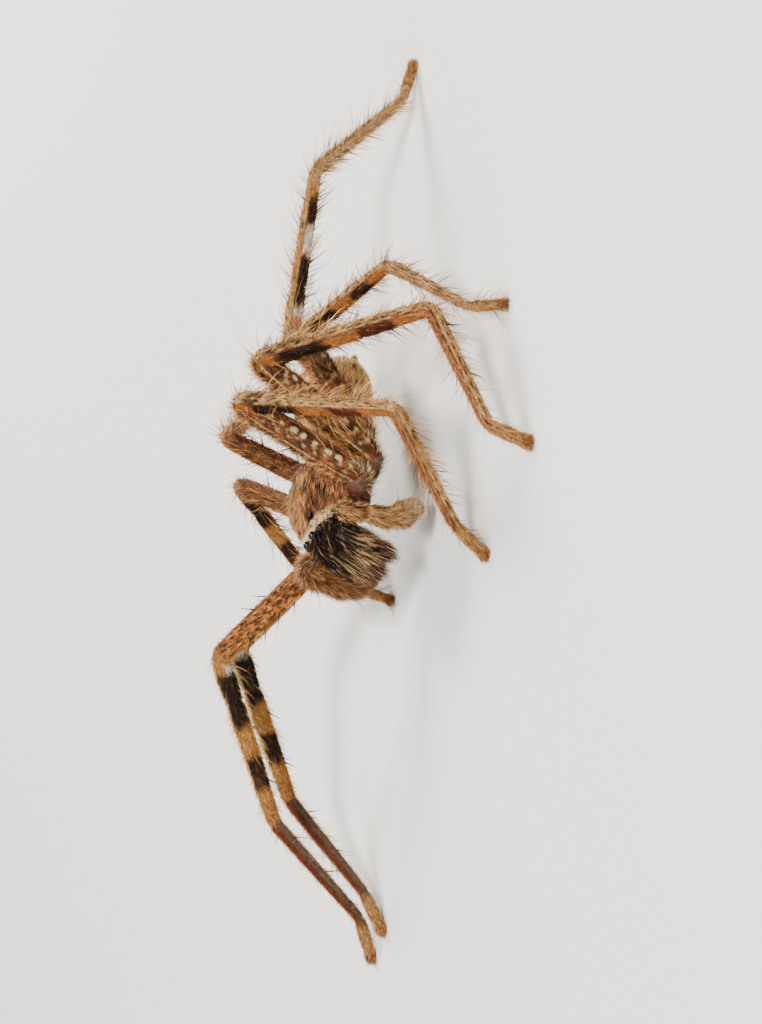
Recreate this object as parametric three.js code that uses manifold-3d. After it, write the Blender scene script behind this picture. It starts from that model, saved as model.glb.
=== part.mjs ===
// Huntsman spider, life size, standing still on the floor.
// Millimetres, +X forward, +Y to the spider's left, +Z up, floor at z = 0.
import * as THREE from 'three';
import Module from 'manifold-3d';

const wasm = await Module();
wasm.setup();

const vec = (x, y, z) => new THREE.Vector3(x, y, z);
const deg = THREE.MathUtils.degToRad;
const sideSigns = { left: 1, right: -1 };
const up = vec(0, 0, 1);

// Body: the carapace centre stands this high, nose up and a little down on the left
const bodyHeight = 9.4;
const noseUp = deg(10);
const leftDown = deg(2);
const gap = 0.3;
const eyeGap = 0.15;

// Carapace sizes in the body's own frame: forward, left, above its centre
const carapace = {
  front: 6.2, back: -6.2, halfWidth: 5.6, faceHalfWidth: 2.6, cheek: 3, rim: -0.3, underside: 0.45,
  crown: 4.7, faceHeight: 1.2, sides: 22, steps: 14,
};
const sternum = { front: 3.3, back: -4.9, halfWidth: 3.0, top: 0.8, bottom: -2.8, edge: 0.35, sides: 20 };
// The abdomen stands a little higher at its front (tilt) and is fuller behind (taper)
const abdomenSize = {
  centre: vec(-12.0, -0.5, 0.3), half: vec(6.0, 4.9, 4.2), tilt: 0.5, taper: 0.1, sides: 18, steps: 11,
};
const waist = { from: vec(-8, -0.2, -0.7), to: vec(-5.6, 0, -0.9), radius: 1.0 };
// Four cones, as [left of the middle, above it, length]
const spinneretAt = vec(-17.6, -0.5, -1.1);
const spinneretCones = [[0.3, -0.35, 1.5], [-0.3, -0.35, 1.5], [0.28, 0.3, 1.2], [-0.28, 0.3, 1.2]];
const spinneretRadii = [0.52, 0.3];
const spinneretRoom = 1.35;
// Chelicerae bulge forward of the line from top to tip; fang points are measured from that tip
const cheliceraSize = {
  top: vec(5.1, 1.55, 0.2), tip: vec(6.55, 1.5, -4.3), bulge: vec(0.55, 0.05, 0), radius: 1.34,
};
const fangPoints = [vec(0.25, 0.35, -0.75), vec(0.1, -0.35, -1.25), vec(-0.35, -1.08, -1.15)];
const fangRadii = [0.42, 0.32, 0.14];
const eyes = {
  front_middle: { at: vec(6.05, 0.86, 2.35), radius: 0.4 },
  front_side: { at: vec(5.65, 1.8, 1.9), radius: 0.38 },
  rear_middle: { at: vec(4.1, 1.45, 2.95), radius: 0.28 },
  rear_side: { at: vec(3.95, 3.0, 0.45), radius: 0.3 },
};

// Legs: hip place in the body's frame on the left side, segment lengths and thickness
const legSizes = {
  1: {
    root: vec(2.2, 3.2, -1.9), hip: vec(3.6, 8.6, 0.1), stout: 1.0,
    femur: 13.5, tibia: 18.5, metatarsus: 13.4, tarsus: 4.4,
  },
  2: {
    root: vec(0.4, 3.4, -1.9), hip: vec(0.8, 8.8, -1.4), stout: 1.02,
    femur: 14.6, tibia: 18.7, metatarsus: 14.4, tarsus: 4.6,
  },
  3: {
    root: vec(-1.7, 3.3, -1.9), hip: vec(-2.4, 7.0, -1.3), stout: 0.86,
    femur: 12.6, tibia: 14.3, metatarsus: 10.1, tarsus: 3.9,
  },
  4: {
    root: vec(-3.6, 2.7, -1.9), hip: vec(-5.5, 5.6, -1.6), stout: 0.88,
    femur: 12.8, tibia: 17.7, metatarsus: 12.0, tarsus: 4.3,
  },
};

// Pose: heading in degrees from straight ahead towards the leg's own side, and rise above level
const pose = {
  left_1: { femur: [169, 57], tibia: [51, -37], metatarsus: [-54, -34], tarsus: 10 },
  left_2: { femur: [151, 53], tibia: [76, -45], metatarsus: [0, -13], tarsus: 30 },
  left_3: { femur: [163, 28], tibia: [81, -19], metatarsus: [22, -37], tarsus: 57 },
  left_4: { femur: [174, 32], tibia: [154, -9], metatarsus: [138, -48], tarsus: 159 },
  right_1: { femur: [75, 32], tibia: [36, -21], metatarsus: [22, -42], tarsus: 38 },
  right_2: { femur: [78, 26], tibia: [50, -24], metatarsus: [-13, -23], tarsus: -2 },
  right_3: { femur: [147, 34], tibia: [60, -42], metatarsus: [-48, -18], tarsus: -39 },
  right_4: { femur: [171, 55], tibia: [140, -24], metatarsus: [153, -39], tarsus: 156 },
};
// The toe's middle stands at this share of its own radius, so each toe rests on a small flat
const toeShare = 0.78;

// Half thickness along each segment, as [share of the length, radius]
const outlines = {
  coxa: [[0, 1.0], [0.45, 1.25], [0.66, 1.12], [0.78, 1.28], [1, 1.12]],
  femur: [[0, 1.05], [0.14, 1.28], [0.42, 1.38], [0.78, 1.26], [1, 1.12]],
  tibia: [[0, 1.1], [0.13, 1.2], [0.25, 1.02], [0.36, 1.1], [0.7, 1.02], [1, 0.86]],
  metatarsus: [[0, 0.86], [0.5, 0.78], [1, 0.68]],
  tarsus: [[0, 0.68], [0.5, 0.72], [1, 0.58]],
};
const legSides = 9;
const fewSides = 8;

// Stout black spines, as [share of the segment, degrees round from its upper side]
const spine = { length: 2.4, radius: 0.3, lean: 0.75, sunk: 0.6, sides: 3 };
const spinePlaces = {
  femur: [[0.5, 15], [0.36, 115], [0.68, 110], [0.36, -105], [0.68, -100]],
  tibia: [[0.42, 140], [0.42, -140], [0.74, 140], [0.74, -140]],
  metatarsus: [[0.18, 125], [0.18, -125], [0.55, 180]],
};

// Flat tapered locks of the bristly coat, placed in the same way on the legs
const lock = { length: 2.6, width: 1.1, thick: 0.52, sunk: 0.5, lift: 0.5 };
const abdomenLock = { ...lock, width: 1.5, length: 2.8, lift: 0.42 };
const jawLock = { ...lock, width: 1.0 };
const palpLock = { ...lock, width: 0.9, length: 1.9, lift: 0.4 };
// Rings of locks round the abdomen, in degrees from its front end, and how they go round
const abdomenLockRows = { polar: [50, 85, 118], each: 4, start: -10, step: 55 };
// Locks on a chelicera, as [share of the way down, radians round from the front]
const jawLockPlaces = [[0.12, 0.1], [0.15, 0.85], [0.45, 0.15], [0.5, 0.9]];
// Locks on a palp, as [piece, share of its length, degrees round from its upper side]
const palpLockPlaces = [[1, 0.5, 20], [2, 0.35, -40], [2, 0.4, 100], [3, 0.3, 0]];
const lockPlaces = {
  femur: [[0.25, -30], [0.72, -25]],
  tibia: [[0.16, 0], [0.42, 30], [0.55, 180], [0.68, -20]],
  metatarsus: [[0.3, 20]],
};

// Palps: root, knee, patella end, tibia end and tip in the body's frame, and half thickness there
const palps = {
  left: [
    vec(3.2, 2.9, -1.7), vec(4.9, 4.4, 0.1), vec(4.8, 4.5, -2.0), vec(4.6, 4.4, -4.9), vec(2.8, 4.2, -7.0),
  ],
  right: [
    vec(3.4, -2.9, -1.6), vec(6.3, -4.5, 1.0), vec(7.5, -4.5, -0.6), vec(7.7, -4.4, -2.9),
    vec(6.2, -4.2, -5.0),
  ],
};
const palpRadii = [0.8, 1.0, 1.1, 1.2, 1.5];

const bodyTurn = new THREE.Matrix4().makeRotationY(-noseUp)
  .multiply(new THREE.Matrix4().makeRotationX(-leftDown));
const inBody = (p) => p.clone().applyMatrix4(bodyTurn).add(vec(0, 0, bodyHeight));
const bodyWay = (p) => p.clone().applyMatrix4(bodyTurn).normalize();

// Closed surface through rings of points, with a pole beyond each end
function loft(rings, firstPole, lastPole) {
  const count = rings[0].length;
  const points = [firstPole, ...rings.flat(), lastPole];
  const faces = [];
  const at = (ring, k) => 1 + ring * count + (k % count);
  for (let k = 0; k < count; k++) {
    faces.push([0, at(0, k + 1), at(0, k)]);
    for (let ring = 0; ring + 1 < rings.length; ring++) {
      faces.push([at(ring, k), at(ring, k + 1), at(ring + 1, k + 1)]);
      faces.push([at(ring, k), at(ring + 1, k + 1), at(ring + 1, k)]);
    }
    faces.push([points.length - 1, at(rings.length - 1, k), at(rings.length - 1, k + 1)]);
  }
  const volume = faces.reduce((sum, [a, b, c]) => {
    return sum + points[a].dot(points[b].clone().cross(points[c]));
  }, 0);
  if (volume < 0) faces.forEach((face) => face.reverse());
  const geometry = new THREE.BufferGeometry();
  const numbers = points.flatMap((p) => [p.x, p.y, p.z]);
  geometry.setAttribute('position', new THREE.Float32BufferAttribute(numbers, 3));
  geometry.setIndex(faces.flat());
  return geometry;
}

function solidOf(geometry) {
  return new wasm.Manifold(new wasm.Mesh({
    numProp: 3,
    vertProperties: Float32Array.from(geometry.getAttribute('position').array),
    triVerts: Uint32Array.from(geometry.getIndex().array),
  }));
}

// Two directions square to a line: one on the upper side, one to the side
function sidesOf(along) {
  const hint = Math.abs(along.z) > 0.96 ? vec(1, 0, 0) : up;
  const back = hint.clone().addScaledVector(along, -hint.dot(along)).normalize();
  return { back, side: back.clone().cross(along).normalize() };
}

function ringAt(centre, back, side, radius, sides) {
  return Array.from({ length: sides }, (_, k) => {
    const turn = (2 * Math.PI * (k + 0.5)) / sides;
    return centre.clone().addScaledVector(back, Math.cos(turn) * radius)
      .addScaledVector(side, Math.sin(turn) * radius);
  });
}

// Radius at a share of an outline's length
function radiusAlong(outline, share) {
  let k = 1;
  while (k < outline.length - 1 && share > outline[k][0]) k++;
  const [s0, r0] = outline[k - 1];
  const [s1, r1] = outline[k];
  return THREE.MathUtils.mapLinear(THREE.MathUtils.clamp(share, s0, s1), s0, s1, r0, r1);
}

// A round limb through its points, with half-round ends; radii as [share of the length, radius]
function limb(points, outline, sides = legSides, grow = 0) {
  const lengths = points.slice(1).map((p, k) => p.distanceTo(points[k]));
  const total = lengths.reduce((a, b) => a + b, 0);
  const radiusAt = (share) => radiusAlong(outline, share) + grow;
  const path = new THREE.CatmullRomCurve3(points, false, 'centripetal');
  const straight = points.length === 2;
  const placeAt = (share) => (straight ? points[0].clone().lerp(points[1], share) : path.getPointAt(share));
  const straightWay = points[1].clone().sub(points[0]).normalize();
  const wayAt = (share) => (straight ? straightWay.clone() : path.getTangentAt(share));
  const first = wayAt(0);
  let { back } = sidesOf(first);
  const rings = [];
  const domeSteps = grow > 0 ? [45] : [60, 25];
  const addRing = (centre, way, radius) => {
    back = back.clone().addScaledVector(way, -back.dot(way)).normalize();
    rings.push(ringAt(centre, back, back.clone().cross(way).normalize(), radius, sides));
  };
  const r0 = radiusAt(0);
  for (const angle of domeSteps) {
    const a = deg(angle);
    addRing(placeAt(0).addScaledVector(first, -r0 * Math.sin(a)), first, r0 * Math.cos(a));
  }
  const bends = straight ? [] : bendStops(lengths, total);
  const stops = [...new Set([...outline.map(([share]) => share), ...bends])].sort((a, b) => a - b);
  stops.forEach((share) => addRing(placeAt(share), wayAt(share), radiusAt(share)));
  const last = wayAt(1);
  const r1 = radiusAt(1);
  for (const angle of [...domeSteps].reverse()) {
    const a = deg(angle);
    addRing(placeAt(1).addScaledVector(last, r1 * Math.sin(a)), last, r1 * Math.cos(a));
  }
  return solidOf(loft(rings, placeAt(0).addScaledVector(first, -r0), placeAt(1).addScaledVector(last, r1)));
}

// Extra rings round each inner corner of a bent limb
function bendStops(lengths, total) {
  const stops = [];
  let reached = 0;
  for (const length of lengths) {
    for (const part of [0.4, 0.75, 1]) stops.push(Math.min(1, (reached + part * length) / total));
    reached += length;
  }
  return stops.filter((share) => share > 0.02 && share < 0.98);
}

// A three-sided spine rooted under the skin at a point
function spineAt(root, out, along) {
  const way = out.clone().addScaledVector(along, spine.lean).normalize();
  const from = root.clone().addScaledVector(out, -spine.sunk);
  const side = out.clone().cross(along).normalize();
  const third = way.clone().cross(side).normalize();
  const rings = [0.02, 0.5].map((share) => {
    const centre = from.clone().addScaledVector(way, share * spine.length);
    return ringAt(centre, side, third, spine.radius * (1 - 0.35 * share), spine.sides);
  });
  return solidOf(loft(rings, from, from.clone().addScaledVector(way, spine.length + spine.sunk)));
}

// A flat tapered lock that leaves the skin and bends over to lie along it
function lockAt(root, out, along, size = lock) {
  const side = out.clone().cross(along).normalize();
  const place = (rise, run) => {
    return root.clone().addScaledVector(out, rise).addScaledVector(along, run * size.length);
  };
  const stops = [[-size.sunk, 0, 0.8], [0.45 * size.lift, 0.36, 1], [size.lift, 0.72, 0.62]];
  const rings = stops.map(([rise, run, share]) => {
    const half = share * size.width * 0.5;
    return [[half, 0], [0, size.thick / 2], [-half, 0], [0, -size.thick / 2]].map(([across, over]) => {
      return place(rise, run).addScaledVector(side, across).addScaledVector(out, over);
    });
  });
  return solidOf(loft(rings, place(-size.sunk - 0.1, -0.05), place(size.lift * 0.9, 1)));
}

// Places on a straight segment, with the way out of its skin and the way to its tip
function onSegment(from, to, outline, share, round) {
  const along = to.clone().sub(from).normalize();
  const { back, side } = sidesOf(along);
  const turn = deg(round);
  const out = back.multiplyScalar(Math.cos(turn)).addScaledVector(side, Math.sin(turn));
  const root = from.clone().lerp(to, share).addScaledVector(out, radiusAlong(outline, share) * 0.95);
  return { root, out, along };
}

// Keeps the part of a solid on one side of a joint, half a gap away from its plane
function cutAt(solid, joint, keepWay, clearance = gap / 2) {
  return solid.trimByPlane([keepWay.x, keepWay.y, keepWay.z], keepWay.dot(joint) + clearance);
}

function largest(solid) {
  return solid.decompose().sort((a, b) => b.volume() - a.volume())[0];
}

const group = new THREE.Group();
const looks = {
  shell: { color: 0x6b4630, roughness: 0.6 },
  leg: { color: 0x9a6a3c, roughness: 0.7 },
  belly: { color: 0xb8925f, roughness: 0.85 },
  jaw: { color: 0x2c1a12, roughness: 0.5 },
  fang: { color: 0x120806, roughness: 0.25 },
  eye: { color: 0x050505, roughness: 0.08 },
};

// Nodes wait here until their spines and locks are fused on
const plan = [];
function addNode(name, solid, look, growths = []) {
  plan.push({ name, solid: largest(solid), look, growths });
}

function placeNode({ name, solid, look }) {
  const mesh = solid.getMesh();
  const geometry = new THREE.BufferGeometry();
  geometry.setAttribute('position', new THREE.Float32BufferAttribute(mesh.vertProperties, 3));
  geometry.setIndex(Array.from(mesh.triVerts));
  geometry.computeVertexNormals();
  const node = new THREE.Mesh(geometry, new THREE.MeshStandardMaterial({ ...looks[look], name: look }));
  node.name = name;
  group.add(node);
}

// Skeleton: hip, knee, ankle, toe joint and toe of one leg, in the part's frame
function joints(sideName, number) {
  const sizes = legSizes[number];
  const side = sideSigns[sideName];
  const angles = pose[`${sideName}_${number}`];
  const mirrored = (p) => vec(p.x, p.y * side, p.z);
  const places = [inBody(mirrored(sizes.root)), inBody(mirrored(sizes.hip))];
  for (const segment of ['femur', 'tibia', 'metatarsus']) {
    const [heading, rise] = angles[segment].map(deg);
    const level = Math.cos(rise);
    const way = vec(Math.cos(heading) * level, side * Math.sin(heading) * level, Math.sin(rise));
    places.push(places[places.length - 1].clone().addScaledVector(way, sizes[segment]));
  }
  const ankle = places[places.length - 1];
  const toeRadius = outlines.tarsus[outlines.tarsus.length - 1][1] * sizes.stout;
  const drop = toeShare * toeRadius - ankle.z;
  const reach = Math.sqrt(sizes.tarsus ** 2 - drop ** 2);
  const heading = deg(angles.tarsus);
  places.push(ankle.clone().add(vec(Math.cos(heading) * reach, side * Math.sin(heading) * reach, drop)));
  return places;
}

const segmentNames = ['coxa', 'femur', 'tibia', 'metatarsus', 'tarsus'];

function scaled(outline, stout) {
  return outline.map(([share, radius]) => [share, radius * stout]);
}

// One leg's five segments, parted at the middle plane of each joint
function leg(sideName, number, avoid) {
  const side = sideSigns[sideName];
  const places = joints(sideName, number);
  const stout = legSizes[number].stout;
  const ways = places.slice(1).map((p, k) => p.clone().sub(places[k]).normalize());
  segmentNames.forEach((segment, k) => {
    const outline = scaled(outlines[segment], stout);
    const sides = segment === 'femur' || segment === 'tibia' ? legSides : fewSides;
    let solid = limb([places[k], places[k + 1]], outline, sides);
    if (k > 0) solid = cutAt(solid, places[k], ways[k - 1].clone().add(ways[k]).normalize());
    if (k < 4) solid = cutAt(solid, places[k + 1], ways[k].clone().add(ways[k + 1]).normalize().negate());
    if (segment === 'coxa') solid = solid.subtract(avoid);
    if (segment === 'tarsus') solid = solid.trimByPlane([0, 0, 1], 0);
    const place = ([share, round]) => {
      const { root, out, along } = onSegment(places[k], places[k + 1], outline, share, round * side);
      return [root, out, along];
    };
    const growths = [
      ...(spinePlaces[segment] ?? []).map((spot) => spineAt(...place(spot))),
      ...(lockPlaces[segment] ?? []).map((spot) => lockAt(...place(spot))),
    ];
    addNode(`${sideName}_leg_${number}_${segment}`, solid, 'leg', growths);
  });
}

// Half width and crown height of the carapace at a place along it
function carapaceAt(forward) {
  const share = (forward - carapace.back) / (carapace.front - carapace.back);
  const bulge = Math.sin(Math.PI * Math.min(1, share / 0.92) ** 0.9);
  const head = THREE.MathUtils.smoothstep(share, 0.45, 1);
  const face = carapace.faceHalfWidth + carapace.cheek * (1 - share);
  const width = carapace.halfWidth * Math.max(bulge, 0) ** 0.55 * (1 - head) + head * face;
  const rise = Math.sin(Math.PI * Math.min(1, share / 1.08) ** 0.95) ** 0.6;
  const crown = carapace.rim + (carapace.crown - carapace.rim) * Math.max(rise, 0) * (1 - 0.06 * head);
  return { width: Math.max(width, 0.6), crown: Math.max(crown, 0.4) };
}

function prosoma(avoid) {
  const rings = [];
  for (let k = 0; k <= carapace.steps; k++) {
    const ease = 0.5 - 0.5 * Math.cos((Math.PI * k) / carapace.steps);
    const forward = carapace.back + (carapace.front - carapace.back) * ease;
    const { width, crown } = carapaceAt(forward);
    rings.push(Array.from({ length: carapace.sides }, (_, n) => {
      const turn = (2 * Math.PI * (n + 0.5)) / carapace.sides;
      const rise = Math.sin(turn);
      const height = rise > 0 ? (crown - carapace.rim) * rise ** 0.9 : carapace.underside * rise;
      return inBody(vec(forward, width * Math.cos(turn), carapace.rim + height));
    }));
  }
  const rear = inBody(vec(carapace.back - 0.1, 0, 0));
  const dome = solidOf(loft(rings, rear, inBody(vec(carapace.front + 0.15, 0, carapace.faceHeight))));
  const plateRings = [];
  const plateSteps = [[sternum.bottom, 0.82], [sternum.bottom + sternum.edge, 1], [sternum.top, 1]];
  const middle = (sternum.front + sternum.back) / 2;
  const halfLength = (sternum.front - sternum.back) / 2;
  for (const [height, share] of plateSteps) {
    plateRings.push(Array.from({ length: sternum.sides }, (_, n) => {
      const turn = (2 * Math.PI * n) / sternum.sides;
      const forward = middle + halfLength * share * Math.cos(turn);
      return inBody(vec(forward, sternum.halfWidth * share * Math.sin(turn), height));
    }));
  }
  const below = inBody(vec(middle, 0, sternum.bottom - 0.1));
  const plate = solidOf(loft(plateRings, below, inBody(vec(middle, 0, sternum.top + 0.2))));
  addNode('prosoma', dome.add(plate).subtract(avoid), 'shell');
}

function abdomen(grow = 0) {
  const { centre, tilt, taper, sides, steps } = abdomenSize;
  const half = abdomenSize.half.clone().addScalar(grow);
  const rings = [];
  for (let k = 1; k < steps; k++) {
    const along = Math.cos((Math.PI * k) / steps);
    const round = Math.sin((Math.PI * k) / steps) ** 0.86;
    const fullness = 1 - taper * along;
    rings.push(Array.from({ length: sides }, (_, n) => {
      const turn = (2 * Math.PI * n) / sides;
      return inBody(vec(centre.x + half.x * along, centre.y + half.y * round * fullness * Math.cos(turn),
        centre.z + tilt * along + half.z * round * Math.sin(turn)));
    }));
  }
  const ends = [1, -1].map((end) => inBody(vec(centre.x + end * half.x, centre.y, centre.z + tilt * end)));
  const sac = solidOf(loft(rings, ends[0], ends[1]));
  const stalkOutline = [[0, waist.radius], [1, waist.radius]];
  const stalk = limb([inBody(waist.from), inBody(waist.to)], stalkOutline, legSides, grow);
  return sac.add(stalk);
}

// Locks lying back along the abdomen, in staggered rows
function abdomenLocks() {
  const { centre, half, tilt } = abdomenSize;
  const { polar, each, start, step } = abdomenLockRows;
  return polar.flatMap((fromFront, row) => Array.from({ length: each }, (_, k) => {
    const turn = deg(start + (k + 0.5 * (row % 2)) * step);
    const along = Math.cos(deg(fromFront));
    const round = Math.sin(deg(fromFront));
    const reach = vec(along, round * Math.cos(turn), round * Math.sin(turn));
    const out = reach.clone().divide(half).normalize();
    const root = reach.clone().multiply(half).add(centre).add(vec(0, 0, tilt * along));
    const back = vec(-1, 0, 0).addScaledVector(out, out.x).normalize();
    return lockAt(inBody(root), bodyWay(out), bodyWay(back), abdomenLock);
  }));
}

// Long locks that hang forward and down over a chelicera
function jawLocks(side) {
  const mirror = vec(1, side, 1);
  return jawLockPlaces.map(([down, across]) => {
    const out = vec(Math.cos(across), Math.sin(across), 0.1).normalize();
    const root = cheliceraSize.top.clone().lerp(cheliceraSize.tip, down)
      .addScaledVector(out, cheliceraSize.radius + 0.1);
    const fall = vec(0.25, 0.1, -1).addScaledVector(out, -0.1).normalize();
    const [from, outWay, fallWay] = [root, out, fall].map((p) => p.multiply(mirror));
    return lockAt(inBody(from), bodyWay(outWay), bodyWay(fallWay), jawLock);
  });
}

function spinnerets() {
  const [wide, narrow] = spinneretRadii;
  return wasm.Manifold.union(spinneretCones.map(([across, above, length]) => {
    const from = inBody(spinneretAt.clone().add(vec(0.2, across, above)));
    const to = inBody(spinneretAt.clone().add(vec(-length, across * 2.1, above * 1.5)));
    return limb([from, to], [[0, wide], [1, narrow]], 5);
  }));
}

function chelicera(side, grow = 0) {
  const place = (p) => inBody(vec(p.x, p.y * side, p.z));
  const { top, tip, bulge, radius } = cheliceraSize;
  const middle = top.clone().lerp(tip, 0.45).add(bulge);
  return limb([place(top), place(middle), place(tip)],
    [[0, radius * 0.9], [0.35, radius], [0.75, radius * 0.9], [1, radius * 0.72]], legSides, grow);
}

function fang(side, grow = 0) {
  const [wide, half, point] = fangRadii;
  const points = fangPoints.map((p) => inBody(cheliceraSize.tip.clone().add(p).multiply(vec(1, side, 1))));
  return limb(points, [[0, wide], [0.6, half], [1, point]], 6, grow);
}

function palp(sideName, grow = 0) {
  const points = palps[sideName].map(inBody);
  const lengths = points.slice(1).map((p, k) => p.distanceTo(points[k]));
  const total = lengths.reduce((a, b) => a + b, 0);
  let reached = 0;
  const outline = palpRadii.map((radius, k) => {
    if (k > 0) reached += lengths[k - 1];
    return [reached / total, radius];
  });
  const [, widest] = outline.pop();
  const before = outline[outline.length - 1][0];
  outline.push([before + (1 - before) * 0.45, widest * 0.96], [1, widest * 0.62]);
  return limb(points, outline, legSides, grow);
}

// Locks along the outer faces of a palp, pointing to its tip
function palpLocks(sideName) {
  const points = palps[sideName].map(inBody);
  return palpLockPlaces.map(([piece, share, round]) => {
    const outline = [[0, palpRadii[piece]], [1, palpRadii[piece + 1]]];
    const { root, out, along } = onSegment(points[piece], points[piece + 1], outline, share, round);
    return lockAt(root, out, along, palpLock);
  });
}

function ball(at, radius, detail) {
  const rings = [];
  for (let k = 1; k < detail; k++) {
    const polar = (Math.PI * k) / detail;
    rings.push(Array.from({ length: 2 * detail }, (_, n) => {
      const turn = (Math.PI * n) / detail;
      const level = Math.sin(polar);
      const out = vec(level * Math.cos(turn), level * Math.sin(turn), Math.cos(polar));
      return at.clone().addScaledVector(out, radius);
    }));
  }
  return solidOf(loft(rings, at.clone().add(vec(0, 0, radius)), at.clone().add(vec(0, 0, -radius))));
}

// Fatter copies that neighbours are cut clear of
const fatEyes = [];
const fatJaws = [];
const fatPalps = [];
const fatCoxae = {};
const fatFemora = {};
for (const [sideName, side] of Object.entries(sideSigns)) {
  for (const { at, radius } of Object.values(eyes)) {
    fatEyes.push(ball(inBody(at.clone().multiply(vec(1, side, 1))), radius + eyeGap, 5));
  }
  fatJaws.push(chelicera(side, gap), fang(side, gap));
  fatPalps.push(palp(sideName, gap));
  for (const number of [1, 2, 3, 4]) {
    const places = joints(sideName, number);
    const { stout } = legSizes[number];
    const name = `${sideName}_${number}`;
    const widest = (outline) => Math.max(...outline.map(([, radius]) => radius)) * stout;
    const even = (outline) => [0, 1].map((share) => [share, widest(outline)]);
    fatCoxae[name] = limb(places.slice(0, 2), even(outlines.coxa), fewSides, gap);
    fatFemora[name] = limb(places.slice(1, 3), even(outlines.femur), legSides, gap);
  }
}

const fatLegs = [...Object.values(fatCoxae), ...Object.values(fatFemora)];
prosoma(wasm.Manifold.union([...fatEyes, ...fatJaws, ...fatPalps, ...fatLegs, abdomen(gap)]));
const spinneretClear = ball(inBody(spinneretAt), spinneretRoom, 6);
const clearAbdomen = abdomen().subtract(wasm.Manifold.union([spinneretClear, ...fatLegs]));
addNode('abdomen', clearAbdomen, 'belly', abdomenLocks());
addNode('spinnerets', spinnerets(), 'belly');
for (const [sideName, side] of Object.entries(sideSigns)) {
  const ownSide = (solid) => cutAt(solid, vec(0, 0, 0), bodyWay(vec(0, side, 0)));
  const jaw = ownSide(chelicera(side)).subtract(wasm.Manifold.union([fang(side, gap), ...fatPalps]));
  addNode(`${sideName}_chelicera`, jaw, 'jaw', jawLocks(side));
  addNode(`${sideName}_fang`, ownSide(fang(side)), 'fang');
  addNode(`${sideName}_palp`, palp(sideName), 'leg', palpLocks(sideName));
  for (const [eyeName, { at, radius }] of Object.entries(eyes)) {
    const eyeball = ball(inBody(at.clone().multiply(vec(1, side, 1))), radius, 5);
    addNode(`${sideName}_${eyeName}_eye`, eyeball, 'eye');
  }
  for (const number of [1, 2, 3, 4]) {
    const inFront = number > 1 ? [fatCoxae[`${sideName}_${number - 1}`]] : [];
    leg(sideName, number, wasm.Manifold.union([...fatPalps, ...inFront]));
  }
}

// A growth that would touch another node or the floor is left out
const boxOf = (solid) => {
  const { min, max } = solid.boundingBox();
  return new THREE.Box3(vec(...min), vec(...max));
};
const placed = plan.map(({ solid }, own) => ({ solid, own, box: boxOf(solid).expandByScalar(gap) }));
plan.forEach((node, own) => {
  const kept = node.growths.filter((growth) => {
    const box = boxOf(growth);
    const isNear = (other) => other.own !== own && other.box.intersectsBox(box);
    return box.min.z >= gap && placed.filter(isNear).every(({ solid }) => solid.minGap(growth, gap) >= gap);
  });
  kept.forEach((growth) => placed.push({ solid: growth, own, box: boxOf(growth).expandByScalar(gap) }));
  node.solid = largest(wasm.Manifold.union([node.solid, ...kept]));
});
plan.forEach(placeNode);

// Origin under the middle of the whole model
const centre = new THREE.Box3().setFromObject(group).getCenter(vec(0, 0, 0));
for (const node of group.children) node.geometry.translate(-centre.x, -centre.y, 0);

export default group;
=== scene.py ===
import math

import bpy
import numpy as np
from mathutils import Matrix, Vector

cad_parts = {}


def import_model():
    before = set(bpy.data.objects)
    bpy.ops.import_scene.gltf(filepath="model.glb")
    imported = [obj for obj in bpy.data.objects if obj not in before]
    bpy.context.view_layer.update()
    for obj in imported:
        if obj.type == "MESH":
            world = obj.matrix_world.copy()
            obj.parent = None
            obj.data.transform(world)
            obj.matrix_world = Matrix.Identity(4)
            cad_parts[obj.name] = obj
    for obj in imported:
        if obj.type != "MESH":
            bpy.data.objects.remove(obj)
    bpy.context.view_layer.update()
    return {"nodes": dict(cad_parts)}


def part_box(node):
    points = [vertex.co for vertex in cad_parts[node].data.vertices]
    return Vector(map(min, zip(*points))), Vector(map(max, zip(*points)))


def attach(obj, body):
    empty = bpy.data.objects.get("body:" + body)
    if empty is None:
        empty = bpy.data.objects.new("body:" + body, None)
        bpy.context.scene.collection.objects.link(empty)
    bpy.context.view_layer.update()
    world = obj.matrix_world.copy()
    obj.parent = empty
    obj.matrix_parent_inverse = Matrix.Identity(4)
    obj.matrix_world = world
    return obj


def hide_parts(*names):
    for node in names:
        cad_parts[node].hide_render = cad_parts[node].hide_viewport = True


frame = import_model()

mm = 0.001  # sizes below are in millimetres and become metres when a mesh is made
sideSign = {"left": 1, "right": -1}
thinned = 1.0


def unit(ways):
    ways = np.asarray(ways, float)
    return ways / np.maximum(np.linalg.norm(ways, axis=-1, keepdims=True), 1e-9)


def smooth(value, low, high):  # 0 below low, 1 above high
    share = np.clip((np.asarray(value, float) - low) / (high - low), 0, 1)
    return share * share * (3 - 2 * share)


def before(value, inner, outer):  # 1 below inner, 0 above outer
    return smooth(-np.asarray(value, float), -outer, -inner)


def colour(red, green, blue):  # what a screen shows, 0 to 255, as a linear colour
    shown = np.array([red, green, blue]) / 255
    return np.where(shown < 0.04045, shown / 12.92, ((shown + 0.055) / 1.055) ** 2.4)


def mixed(first, second, share):  # a tint is a linear colour, or what a screen shows as whole numbers
    first, second = (colour(*tint) if isinstance(tint, tuple) else tint for tint in (first, second))
    share = np.asarray(share, float)[..., None]
    return first * (1 - share) + second * share


def layered(tint, *layers):  # each layer is a tint and the share that it covers of those under it
    for upper, share in layers:
        tint = mixed(tint, upper, share)
    return tint


def hashed(a, b, seed):
    value = np.sin(a * 127.1 + b * 311.7 + seed * 74.7) * 43758.5453
    return value - np.floor(value)


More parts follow.
